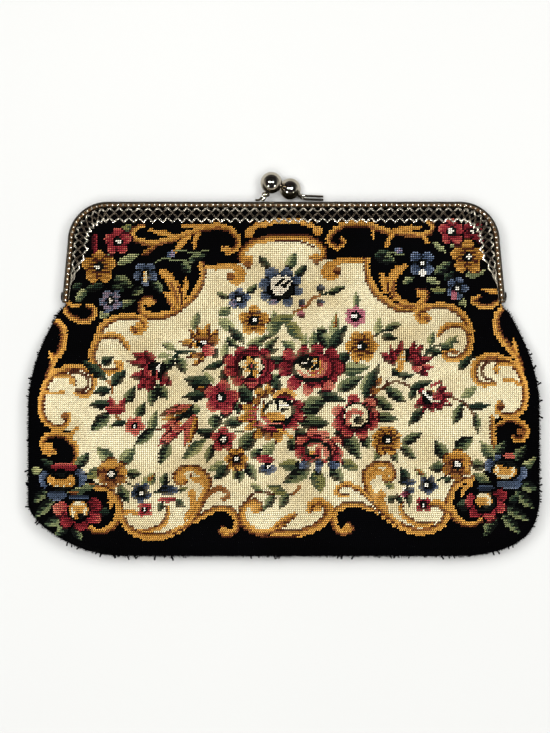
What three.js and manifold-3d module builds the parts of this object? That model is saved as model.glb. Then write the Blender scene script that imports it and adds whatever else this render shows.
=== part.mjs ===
// Evening clutch: a woven petit-point pouch on a pierced metal frame with a ball clasp, lying on its back.
// Millimetres. +X runs across the bag, +Y from its base up to the frame, +Z up from the surface it lies on.
// The origin is on that surface, under the middle of the whole object.
import * as THREE from "three";
import { mergeVertices } from "three/addons/utils/BufferGeometryUtils.js";
import Module from "manifold-3d";

const wasm = await Module();
wasm.setup();

// Driving dimensions. Heights called "up" are measured along +Y from the bag's base edge.
const GAP = 0.3; // kept between pieces that touch
const WALL = 1.6; // tapestry with its backing
const PARTING = 7; // height of the plane where the two frame halves meet

const BAG = {
  halfWidth: 107.3,
  cornerAcross: 37, // the base corners are quarter ellipses
  cornerUp: 24,
  shoulderUp: 62, // above this the sides draw in towards the hinges
  shoulderDraw: 15.1,
  shoulderPower: 1.9,
  edgeRound: 13, // how far in from a seam the wall takes to level out
  baseRound: 17,
  belly: 17, // how far the front stands above the seam
};

const FRAME = {
  topUp: 149,
  hingeUp: 106.5,
  topHalfWidth: 91, // where the corners begin
  hingeHalfWidth: 93.4,
  cornerRadius: 16.8,
  sheet: 1.2, // the wall that closes the mouth
  railWidth: 2.7,
  railHeight: 6.4, // front face of the rail above the parting plane
  galleryWidth: 8.9, // from the outer edge to the points of the pierced border
  galleryTop: 5.8,
  galleryBottom: 4.8,
  taperUp: 127, // the border narrows from here down to railUp
  railUp: 113.5,
};

const PIERCING = {
  pitch: 4.1,
  pointDrop: 1.7, // depth of the notches between the border's points
  halfAcross: 1.25,
  halfAlong: 1.75,
  middle: 5.2, // from the frame's outer edge
  leastHalfAlong: 0.8, // smaller lozenges are left closed
};

const BEAD = { pitch: 2.2, radius: 0.66, height: 0.6, sunk: 0.15, sides: 5, inset: 1.55 };

const RIVET = { up: 109.2, shankRadius: 1, boreRadius: 1.3, headRadius: 2, headHeight: 0.8, sides: 12 };

const CLASP_TOP = 13.4; // the higher ball's crown above the frame
const MIDDLE_UP = (FRAME.topUp + CLASP_TOP) / 2;

// One row for each half of the clasp: its ball, the collar under it, and the foot on the frame.
// "rise" is above the frame's top edge and "lift" above the parting plane.
const CLASP = [
  {
    name: "clasp_ball_front",
    ball: { across: -5.25, rise: 8.8, lift: 2.1, radius: 4.6 },
    collar: { across: -8.2, rise: 2.9, lift: 3.2, radius: 1.5 },
    foot: { left: -12.2, right: -8.6, lift: 3.5, width: 3, height: 0.9 },
  },
  {
    name: "clasp_ball_back",
    ball: { across: 2.7, rise: 5.9, lift: -2.2, radius: 4.4 },
    collar: { across: 5.7, rise: 3.8, lift: -3.2, radius: 1.5 },
    foot: { left: 6.4, right: 17.4, lift: -3.5, width: 3, height: 1.2 },
  },
];
const STEM_RADIUS = 0.9;

// Soft dents in the front wall: from each hinge the cloth fans out, and it dips under the clasp.
const DENTS = [
  { fromAcross: -84, fromUp: 104, toAcross: -52, toUp: 84, width: 9, depth: 1.6 },
  { fromAcross: 84, fromUp: 104, toAcross: 52, toUp: 84, width: 9, depth: 1.6 },
  { fromAcross: -30, fromUp: 124, toAcross: 30, toUp: 124, width: 12, depth: 1.2 },
];

// Small helpers
const smooth = (t) => THREE.MathUtils.smoothstep(t, 0, 1);
const mix = THREE.MathUtils.lerp;
const quarterRound = (t) => Math.sqrt(1 - (1 - THREE.MathUtils.clamp(t, 0, 1)) ** 2);

function toSolid(geometry) {
  const bare = geometry.clone();
  bare.deleteAttribute("normal");
  bare.deleteAttribute("uv");
  const merged = mergeVertices(bare, 1e-4);
  return new wasm.Manifold(
    new wasm.Mesh({
      numProp: 3,
      vertProperties: new Float32Array(merged.attributes.position.array),
      triVerts: new Uint32Array(merged.index.array),
    }),
  );
}

function toGeometry(solid) {
  const mesh = solid.getMesh();
  const geometry = new THREE.BufferGeometry();
  geometry.setAttribute("position", new THREE.BufferAttribute(mesh.vertProperties, 3));
  geometry.setIndex(new THREE.BufferAttribute(mesh.triVerts, 1));
  geometry.computeVertexNormals();
  return geometry;
}

// The bag

// Half the bag's width at a height above its base. Inside the frame the cloth keeps clear of its wall.
function bagHalfWidth(up) {
  const inFrame = FRAME.sheet + GAP;
  const topCorner = FRAME.topUp - FRAME.cornerRadius;
  if (up < BAG.cornerUp)
    return BAG.halfWidth - BAG.cornerAcross * (1 - quarterRound(up / BAG.cornerUp));
  if (up < BAG.shoulderUp) return BAG.halfWidth;
  if (up < FRAME.hingeUp - 2 * GAP) {
    const t = (up - BAG.shoulderUp) / (FRAME.hingeUp - BAG.shoulderUp);
    const drawn = BAG.halfWidth - BAG.shoulderDraw * t ** BAG.shoulderPower;
    return mix(drawn, FRAME.hingeHalfWidth - inFrame, smooth((t - 0.9) / 0.1));
  }
  if (up < topCorner) {
    const t = (up - FRAME.hingeUp) / (topCorner - FRAME.hingeUp);
    return mix(FRAME.hingeHalfWidth, FRAME.topHalfWidth, Math.max(t, 0)) - inFrame;
  }
  const radius = FRAME.cornerRadius - inFrame;
  return FRAME.topHalfWidth - FRAME.cornerRadius + Math.sqrt(Math.max(radius ** 2 - (up - topCorner) ** 2, 0));
}

// Height of the seam between front and back: level with the frame at the hinges, a little higher at the belly.
function seamHeight(up) {
  return PARTING + 3.5 * smooth((FRAME.hingeUp - up) / 45) * (1 - 0.4 * smooth((20 - up) / 20));
}

// 0 below the hinges, where front and back are sewn together, and 1 higher up inside the frame, where they part.
const mouthShare = (up) => smooth((up - FRAME.hingeUp) / 8);

// 0 under the frame's pierced border and 1 well away from it.
function clearOfFrame(across, up) {
  const below = smooth((FRAME.topUp - FRAME.galleryWidth - 1 - up) / 62);
  const inside = smooth((FRAME.topHalfWidth - FRAME.galleryWidth - 1.5 - Math.abs(across)) / 34);
  return below * mix(1, inside, smooth((up - 78) / 30));
}

function dentDepth(across, up) {
  let depth = 0;
  for (const d of DENTS) {
    const alongAcross = d.toAcross - d.fromAcross;
    const alongUp = d.toUp - d.fromUp;
    const share =
      ((across - d.fromAcross) * alongAcross + (up - d.fromUp) * alongUp) / (alongAcross ** 2 + alongUp ** 2);
    const t = THREE.MathUtils.clamp(share, 0, 1);
    const away = Math.hypot(across - d.fromAcross - t * alongAcross, up - d.fromUp - t * alongUp);
    depth += d.depth * Math.exp(-((away / d.width) ** 2));
  }
  return depth;
}

// How the wall rises from the seam: round along the sides and the base, square inside the frame.
function edgeShare(across, up, halfWidth) {
  const side = quarterRound((halfWidth - Math.abs(across)) / BAG.edgeRound);
  const base = quarterRound(up / BAG.baseRound);
  return mix(side * base, 1, mouthShare(up));
}

const FRAME_CLOTH = FRAME.galleryBottom - GAP; // the cloth's outer face under the border

// Height of the front wall above the seam. "inset" is 0 on its outer face and WALL on its inner one.
function frontRise(across, up, halfWidth, inset) {
  const clear = clearOfFrame(across, up);
  const crown = mix(FRAME_CLOTH, BAG.belly, clear) * (1 - 0.16 * (across / BAG.halfWidth) ** 2);
  const dented = crown - dentDepth(across, up) * clear;
  const lift = mix(GAP / 2, FRAME_CLOTH - inset, mouthShare(up));
  const held = Math.min(dented, mix(BAG.belly, FRAME_CLOTH, clear === 0 ? 1 : 0));
  return lift + (held - inset - lift) * edgeShare(across, up, halfWidth);
}

// Depth of the back wall below the seam. It lies flat on the surface, so it stops there.
function backDrop(across, up, halfWidth, inset) {
  const reach = seamHeight(up) + 1.2;
  const clear = smooth(clearOfFrame(across, up) * 4);
  const lift = mix(GAP / 2, FRAME_CLOTH - inset, mouthShare(up));
  const free = lift + (mix(FRAME_CLOTH, reach, clear) - inset - lift) * edgeShare(across, up, halfWidth);
  return Math.min(free, seamHeight(up) - inset);
}

// Heights of the loft's rows: close together round the base and through the frame's corners.
function loftRows(inset) {
  const rows = [];
  const low = inset * 0.9;
  const top = FRAME.topUp - FRAME.sheet - GAP;
  const cornerSteps = 6;
  for (let i = 0; i < cornerSteps; i++)
    rows.push(low + (BAG.cornerUp - low) * (1 - Math.cos((i / cornerSteps) * (Math.PI / 2))));
  for (const up of [24, 36, 49, 62, 72, 81, 89, 96, 101, 104, 106.4, 109, 112, 115, 122]) rows.push(up);
  const topCorner = FRAME.topUp - FRAME.cornerRadius;
  for (let i = 0; i <= cornerSteps; i++)
    rows.push(mix(topCorner, top, Math.sin((i / cornerSteps) * (Math.PI / 2))));
  return rows;
}

const COLUMNS = 18;

// One wall of the bag: an outer and an inner sheet over the same grid, joined round the rim.
// "side" is 1 for the front and -1 for the back.
function bagWall(side) {
  const rise = side > 0 ? frontRise : backDrop;
  const positions = [];
  const triangles = [];
  const rowCount = loftRows(0).length;
  const stride = COLUMNS + 1;
  for (const inset of [0, WALL]) {
    for (const up of loftRows(inset)) {
      const whole = bagHalfWidth(up);
      const halfWidth = whole - inset * (1 - mouthShare(up));
      for (let i = 0; i <= COLUMNS; i++) {
        const across = halfWidth * Math.sin((i / COLUMNS - 0.5) * Math.PI);
        positions.push(across, up, seamHeight(up) + side * rise(across, up, halfWidth, inset));
      }
    }
  }
  const inner = rowCount * stride;
  const quad = (a, b, c, d) =>
    side > 0 ? triangles.push(a, b, c, a, c, d) : triangles.push(a, c, b, a, d, c);
  for (let j = 0; j + 1 < rowCount; j++) {
    for (let i = 0; i < COLUMNS; i++) {
      const a = j * stride + i;
      quad(a, a + 1, a + 1 + stride, a + stride);
      quad(inner + a, inner + a + stride, inner + a + 1 + stride, inner + a + 1);
    }
    const left = j * stride;
    const right = left + COLUMNS;
    quad(left, left + stride, inner + left + stride, inner + left);
    quad(right, inner + right, inner + right + stride, right + stride);
  }
  const last = (rowCount - 1) * stride;
  for (let i = 0; i < COLUMNS; i++) {
    quad(i, inner + i, inner + i + 1, i + 1);
    quad(last + i, last + i + 1, inner + last + i + 1, inner + last + i);
  }
  const geometry = new THREE.BufferGeometry();
  geometry.setAttribute("position", new THREE.Float32BufferAttribute(positions, 3));
  geometry.setIndex(triangles);
  return toGeometry(toSolid(geometry));
}

// The frame

const armRun = FRAME.topUp - FRAME.cornerRadius - FRAME.hingeUp;
const armDraw = FRAME.hingeHalfWidth - FRAME.topHalfWidth;
const armLength = Math.hypot(armRun, armDraw);
const cornerLength = (FRAME.cornerRadius * Math.PI) / 2;
const topLength = 2 * (FRAME.topHalfWidth - FRAME.cornerRadius);
const archLength = 2 * armLength + 2 * cornerLength + topLength;

// A point on the arch: "station" runs along its outer edge from the left hinge over the top to the right one,
// and "inset" is how far inside that edge the point lies.
function archPoint(station, inset) {
  const mirrored = station > archLength / 2;
  const s = mirrored ? archLength - station : station;
  const flip = mirrored ? 1 : -1;
  if (s < armLength) {
    const t = s / armLength;
    const across = FRAME.hingeHalfWidth - armDraw * t - inset;
    return new THREE.Vector2(flip * across, FRAME.hingeUp + armRun * t);
  }
  const middle = FRAME.topHalfWidth - FRAME.cornerRadius;
  if (s < armLength + cornerLength) {
    const angle = (s - armLength) / FRAME.cornerRadius;
    const radius = FRAME.cornerRadius - inset;
    const across = middle + radius * Math.cos(angle);
    return new THREE.Vector2(flip * across, FRAME.topUp - FRAME.cornerRadius + radius * Math.sin(angle));
  }
  const run = s - armLength - cornerLength;
  return new THREE.Vector2(flip * (middle - run), FRAME.topUp - inset);
}

// Stations that follow the arch's outline closely: the ends, the corners' arcs, and nothing more.
function archStations() {
  const steps = 7;
  const stations = [0];
  for (const start of [armLength, archLength - armLength - cornerLength])
    for (let i = 0; i <= steps; i++) stations.push(start + (cornerLength * i) / steps);
  stations.push(archLength);
  return stations;
}

// Width of the face at a station: the whole border over the top, narrowing down each arm to the bare rail.
function faceWidth(station) {
  const up = archPoint(station, 0).y;
  const share = THREE.MathUtils.clamp((up - FRAME.railUp) / (FRAME.taperUp - FRAME.railUp), 0, 1);
  return mix(FRAME.railWidth, FRAME.galleryWidth, share);
}

function archBand(from, to) {
  const outer = archStations().map((s) => archPoint(s, from));
  const inner = archStations()
    .reverse()
    .map((s) => archPoint(s, to));
  return new THREE.Shape([...outer, ...inner]);
}

const pointCount = Math.round(archLength / PIERCING.pitch);
const pointStation = (k) => ((k + 0.5) * archLength) / pointCount;

// The face of one half: a band with a row of lozenges cut through it and a pointed lower edge.
function galleryShape() {
  const outer = archStations().map((s) => archPoint(s, GAP));
  const lower = [archPoint(0, FRAME.railWidth)];
  for (let k = 0; k < pointCount; k++) {
    const station = pointStation(k);
    const width = faceWidth(station);
    if (width <= FRAME.railWidth) continue;
    const half = archLength / pointCount / 2;
    const share = (width - FRAME.railWidth) / (FRAME.galleryWidth - FRAME.railWidth);
    lower.push(archPoint(station - half, width - PIERCING.pointDrop * share));
    lower.push(archPoint(station, width));
  }
  lower.push(archPoint(archLength, FRAME.railWidth));
  const shape = new THREE.Shape([...outer, ...lower.reverse()]);
  for (let k = 0; k < pointCount; k++) {
    const station = pointStation(k);
    const share = (faceWidth(station) - FRAME.railWidth) / (FRAME.galleryWidth - FRAME.railWidth);
    const halfAlong = PIERCING.halfAlong * share;
    if (halfAlong < PIERCING.leastHalfAlong) continue;
    const middle = mix(FRAME.railWidth, PIERCING.middle, share) + (1 - share) * halfAlong;
    const across = PIERCING.halfAcross * Math.min(1, share + 0.2);
    shape.holes.push(
      new THREE.Path([
        archPoint(station - across, middle),
        archPoint(station, middle + halfAlong),
        archPoint(station + across, middle),
        archPoint(station, middle - halfAlong),
      ]),
    );
  }
  return shape;
}

const extrude = (shape, low, high) =>
  toSolid(
    new THREE.ExtrudeGeometry(shape, { depth: high - low, bevelEnabled: false, curveSegments: 1 }).translate(0, 0, low),
  );

function beadRow() {
  const count = Math.floor((archLength - BEAD.pitch) / BEAD.pitch);
  const beads = [];
  for (let k = 0; k < count; k++) {
    const at = archPoint(((k + 0.75) * archLength) / (count + 0.5), BEAD.inset);
    const cone = new THREE.ConeGeometry(BEAD.radius, BEAD.height + BEAD.sunk, BEAD.sides);
    cone.rotateX(Math.PI / 2);
    cone.translate(at.x, at.y, FRAME.railHeight + (BEAD.height - BEAD.sunk) / 2);
    beads.push(toSolid(cone));
  }
  return wasm.Manifold.union(beads);
}

function rivetCylinder(radius, from, to) {
  const cylinder = new THREE.CylinderGeometry(radius, radius, to - from, RIVET.sides);
  cylinder.rotateZ(Math.PI / 2);
  cylinder.translate((from + to) / 2, RIVET.up, 0);
  return cylinder;
}

// One half of the frame, above the parting plane: mouth wall, rail, pierced border and bead row in one pressing.
function frameHalf() {
  const wall = extrude(archBand(0, FRAME.sheet), GAP / 2, FRAME.galleryTop);
  const rail = extrude(archBand(0, FRAME.railWidth), FRAME.galleryBottom, FRAME.railHeight);
  const gallery = extrude(galleryShape(), FRAME.galleryBottom, FRAME.galleryTop);
  const reach = FRAME.hingeHalfWidth + RIVET.headHeight;
  return wall
    .add(rail)
    .add(gallery)
    .add(beadRow())
    .subtract(toSolid(rivetCylinder(RIVET.boreRadius, -reach, reach)));
}

// A rivet through both halves at a hinge, with a low head outside. "side" is 1 on the right and -1 on the left.
function hingeRivet(side) {
  const outside = archPoint(((RIVET.up - FRAME.hingeUp) / armRun) * armLength, 0);
  const face = Math.abs(outside.x) + GAP;
  const shank = rivetCylinder(RIVET.shankRadius, face - FRAME.sheet - GAP, face + RIVET.headHeight / 2);
  const head = rivetCylinder(RIVET.headRadius, face, face + RIVET.headHeight);
  const solid = toSolid(shank).add(toSolid(head));
  const geometry = toGeometry(solid);
  if (side < 0) geometry.rotateY(Math.PI);
  return geometry;
}

// The clasp

function sphereAt({ across, rise, lift, radius }, round, high) {
  const sphere = new THREE.SphereGeometry(radius, round, high);
  return toSolid(sphere.translate(across, FRAME.topUp + rise, lift));
}

function rodBetween(a, b) {
  const line = new THREE.Vector3().subVectors(b, a);
  const rod = new THREE.CylinderGeometry(STEM_RADIUS, STEM_RADIUS, line.length(), 8);
  rod.applyQuaternion(new THREE.Quaternion().setFromUnitVectors(new THREE.Vector3(0, 1, 0), line.clone().normalize()));
  const middle = new THREE.Vector3().addVectors(a, b).multiplyScalar(0.5);
  return toSolid(rod.translate(middle.x, middle.y, middle.z));
}

// One half of the clasp, soldered up from a foot, a bent stem, a collar and a ball.
function claspHalf({ ball, collar, foot }) {
  const ballAt = new THREE.Vector3(ball.across, FRAME.topUp + ball.rise, ball.lift);
  const collarAt = new THREE.Vector3(collar.across, FRAME.topUp + collar.rise, collar.lift);
  const towards = Math.sign(collar.across - ball.across);
  const footEnd = towards < 0 ? (foot.left + foot.right) / 2 : foot.left + STEM_RADIUS;
  const footAt = new THREE.Vector3(footEnd, FRAME.topUp + GAP + foot.height * 0.8, foot.lift);
  const plate = new THREE.BoxGeometry(foot.right - foot.left, foot.height, foot.width);
  plate.translate((foot.left + foot.right) / 2, FRAME.topUp + GAP + foot.height / 2, foot.lift);
  return toGeometry(
    sphereAt(ball, 16, 9)
      .add(sphereAt(collar, 10, 6))
      .add(rodBetween(collarAt, ballAt))
      .add(rodBetween(footAt, collarAt))
      .add(toSolid(plate)),
  );
}

// Materials
const tapestry = new THREE.MeshStandardMaterial({ color: 0x8a7a58, roughness: 0.95, metalness: 0 });
const blackCloth = new THREE.MeshStandardMaterial({ color: 0x14130f, roughness: 1, metalness: 0 });
const frameMetal = new THREE.MeshStandardMaterial({ color: 0x8c8064, roughness: 0.35, metalness: 1 });
const claspMetal = new THREE.MeshStandardMaterial({ color: 0xb8ab90, roughness: 0.15, metalness: 1 });

function named(name, geometry, material) {
  const mesh = new THREE.Mesh(geometry, material);
  mesh.name = name;
  return mesh;
}

// Assembly
const clutch = new THREE.Group();
clutch.position.y = -MIDDLE_UP;
clutch.add(named("bag_front", bagWall(1), tapestry));
clutch.add(named("bag_back", bagWall(-1), blackCloth));

const halfGeometry = toGeometry(frameHalf());
const frontHalf = named("frame_front", halfGeometry, frameMetal);
frontHalf.position.z = PARTING;
const backHalf = named("frame_back", halfGeometry, frameMetal);
backHalf.position.z = PARTING;
backHalf.rotation.y = Math.PI;
clutch.add(frontHalf, backHalf);

const onParting = new THREE.Group();
onParting.position.z = PARTING;
onParting.add(named("hinge_rivet_left", hingeRivet(-1), frameMetal));
onParting.add(named("hinge_rivet_right", hingeRivet(1), frameMetal));
for (const half of CLASP) onParting.add(named(half.name, claspHalf(half), claspMetal));
clutch.add(onParting);

export default clutch;
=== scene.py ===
"""Evening clutch: a petit-point pouch on a pierced metal frame with a two-ball clasp, lying on its back.

Sizes are in millimetres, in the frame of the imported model: +X across the bag, +Y from its base to the clasp,
+Z up through its thickness. "up" is a height measured along +Y from the bag's base edge. Meshes are in
metres, with their origin at the middle of the bag's height: that is what "the row frame" means below.
"""
from __future__ import annotations

import logging
import math
from dataclasses import dataclass, field
from enum import Enum
from typing import NamedTuple

import bmesh
import bpy
import numpy as np
from mathutils import Matrix, Vector


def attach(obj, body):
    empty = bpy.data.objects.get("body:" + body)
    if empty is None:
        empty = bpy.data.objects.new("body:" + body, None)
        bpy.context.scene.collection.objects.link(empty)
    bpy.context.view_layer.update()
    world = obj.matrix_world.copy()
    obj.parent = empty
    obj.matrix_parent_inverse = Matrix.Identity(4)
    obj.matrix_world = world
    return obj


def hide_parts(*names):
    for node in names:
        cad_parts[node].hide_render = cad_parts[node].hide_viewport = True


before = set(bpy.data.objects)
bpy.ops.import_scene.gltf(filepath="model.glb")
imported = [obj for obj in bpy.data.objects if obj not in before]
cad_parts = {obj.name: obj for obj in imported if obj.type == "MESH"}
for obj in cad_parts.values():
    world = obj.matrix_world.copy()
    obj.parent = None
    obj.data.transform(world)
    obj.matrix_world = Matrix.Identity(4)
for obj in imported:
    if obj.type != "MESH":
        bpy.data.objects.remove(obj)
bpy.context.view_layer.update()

LOG = logging.getLogger("clutch")
MM = 0.001
BODY = "root"
# The gap between pieces, the height where the two halves meet, and the clasp's rise above the frame
GAP = 0.3
PARTING = 7.0
CLASP_TOP = 13.4

Point = tuple[float, float]
Path = tuple[Point, ...]
Place = tuple[float, float, float]
Row = tuple[float, float, float, float, float]
Tree = bpy.types.NodeTree
Thing = bpy.types.Object
Finish = bpy.types.Material


def mix(a: np.ndarray | float, b: np.ndarray | float, share: np.ndarray | float) -> np.ndarray:
    """Blend from a to b."""
    return a + (b - a) * share


def smooth(t: np.ndarray | float) -> np.ndarray:
    """Ease from 0 to 1."""
    t = np.clip(t, 0, 1)
    return t * t * (3 - 2 * t)


def quarter_round(t: np.ndarray | float) -> np.ndarray:
    """Rise from 0 to 1 along a quarter circle."""
    return np.sqrt(1 - (1 - np.clip(t, 0, 1)) ** 2)


def unit(vectors: np.ndarray) -> np.ndarray:
    """Bring every row of an array to length 1."""
    return vectors / np.linalg.norm(vectors, axis=-1, keepdims=True)


def linear(colour: int) -> tuple[float, float, float]:
    """Turn a 24-bit sRGB colour into linear light.

    Args:
        colour: Red, green and blue, eight bits each.

    Returns:
        The three linear values.
    """
    parts = np.array([colour >> 16, colour >> 8 & 255, colour & 255]) / 255
    light = np.where(parts <= 0.04045, parts / 12.92, ((parts + 0.055) / 1.055) ** 2.4)
    return tuple(float(value) for value in light)


def rgba(colour: int) -> tuple[float, float, float, float]:
    """Give an sRGB colour as a linear socket value."""
    return (*linear(colour), 1.0)


class Wool(Enum):
    """The dyed wools, as judged sRGB colours."""

    BLACK = 0x020203
    CREAM = 0xE0D6B4
    WHITE = 0xF6F1E4
    GOLD = 0xCD994A
    OCHRE = 0xB68036
    HONEY = 0xA0702F
    BROWN = 0x8C5A30
    UMBER = 0x4A2618
    WINE = 0x3E1218
    CRIMSON = 0x7A232B
    RED = 0x9C353B
    SALMON = 0xBD6052
    CORAL = 0xD2826C
    PINK = 0xB9707C
    PLUM = 0x6B3142
    NAVY = 0x262F3F
    BLUE = 0x47556C
    SKY = 0x6C7990
    LILAC = 0x8F8296
    INK = 0x101412
    PINE = 0x1F2F25
    GREEN = 0x414F3A
    SAGE = 0x767E58
    OLIVE = 0x83824E
    MINT = 0xA6A878


class Dye(Enum):
    """A family of wools for one petal or leaf: light edge, body, dark heart."""

    RED = (Wool.SALMON, Wool.RED, Wool.CRIMSON)
    CRIMSON = (Wool.RED, Wool.CRIMSON, Wool.WINE)
    ROSE = (Wool.CORAL, Wool.SALMON, Wool.RED)
    FLAME = (Wool.GOLD, Wool.HONEY, Wool.RED)
    ORANGE = (Wool.SALMON, Wool.SALMON, Wool.BROWN)
    PINK = (Wool.PINK, Wool.PINK, Wool.PLUM)
    PLUM = (Wool.PINK, Wool.PLUM, Wool.WINE)
    YELLOW = (Wool.GOLD, Wool.HONEY, Wool.UMBER)
    TAN = (Wool.HONEY, Wool.BROWN, Wool.UMBER)
    CUP = (Wool.CREAM, Wool.GOLD, Wool.OCHRE)
    CREAM = (Wool.CREAM, Wool.CREAM, Wool.GOLD)
    BLUE = (Wool.SKY, Wool.BLUE, Wool.NAVY)
    NAVY = (Wool.BLUE, Wool.NAVY, Wool.INK)
    LILAC = (Wool.SKY, Wool.LILAC, Wool.BLUE)
    MINT = (Wool.MINT, Wool.MINT, Wool.SAGE)
    SAGE = (Wool.MINT, Wool.SAGE, Wool.GREEN)
    OLIVE = (Wool.OLIVE, Wool.OLIVE, Wool.GREEN)
    GREEN = (Wool.SAGE, Wool.GREEN, Wool.INK)
    PINE = (Wool.GREEN, Wool.PINE, Wool.INK)
    DARK = (Wool.INK, Wool.INK, Wool.BLACK)
    BROWN = (Wool.BROWN, Wool.BROWN, Wool.UMBER)
    GOLD = (Wool.GOLD, Wool.GOLD, Wool.OCHRE)
    WHITE = (Wool.WHITE, Wool.WHITE, Wool.WHITE)
    PEARL = (Wool.CREAM, Wool.CREAM, Wool.CREAM)


# The wool that parts one petal from the next, where it is not the petal's own dark one
EDGES: dict[Wool, Wool] = {Wool.CRIMSON: Wool.WINE, Wool.RED: Wool.WINE, Wool.BROWN: Wool.UMBER,
                           Wool.NAVY: Wool.INK, Wool.GOLD: Wool.INK}


class Scroll(NamedTuple):
    """One stroke of gilt scrollwork.

    A shade of 1 puts the brown lines on the left of its path, -1 on the right and 0 leaves them out.
    """

    width: float
    shade: int
    path: Path


class Bloom(NamedTuple):
    """A flat flower seen from above: a ring of petals round a dark eye with a pale dot in it."""

    col: float
    row: float
    radius: float
    petals: int
    turn: float
    dye: Dye
    eye: float = 2.0
    dot_col: float = 0.0
    dot_row: float = 0.0


class Petal(NamedTuple):
    """One petal or bud: an ellipse whose lean, in degrees, points from its heart to its light tip."""

    col: float
    row: float
    long: float
    wide: float
    lean: float
    dye: Dye


# The cream panel, read clockwise from the top of its dome
CREAM_PANEL: Path = (
    (0, 159.5), (10, 159), (16, 157), (19.5, 153.5), (20, 149), (26, 147.5), (41, 147.5), (43, 137),
    (46, 131), (52, 126.5), (59, 124), (67, 124), (80, 125), (88, 121), (92.5, 113), (92, 104), (92, 99),
    (100, 99), (107, 99), (114, 95), (118.5, 88), (120, 81), (119, 75), (115, 71), (107, 70), (103.5, 67),
    (103.5, 58), (104, 52), (101, 46), (97, 39), (90, 37), (84, 34), (81, 27), (80, 20), (76, 15), (68, 13),
    (60, 14), (53, 17.5), (46, 22.5), (37, 26), (30, 25.5), (24.5, 23), (21, 19), (15, 15), (6, 12),
    (-6, 12), (-15, 13.5), (-20, 18), (-23, 22), (-30, 24.5), (-38, 23), (-45, 18), (-52, 13), (-60, 10.5),
    (-68, 10.5), (-76, 14), (-80.5, 20), (-81, 27), (-84, 33), (-91, 35.5), (-97, 40), (-102, 47),
    (-103.5, 54), (-105, 62), (-112, 64.5), (-118, 67), (-120.5, 73), (-119.5, 82), (-116, 88), (-108, 93.5),
    (-100, 94), (-95, 92), (-95, 98), (-95.5, 104), (-92.5, 112), (-87, 118), (-78, 119.5), (-66, 120),
    (-57, 121), (-49, 125), (-43, 131), (-41, 145), (-24, 145), (-21, 150), (-18, 156), (-10, 159),
)

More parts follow.
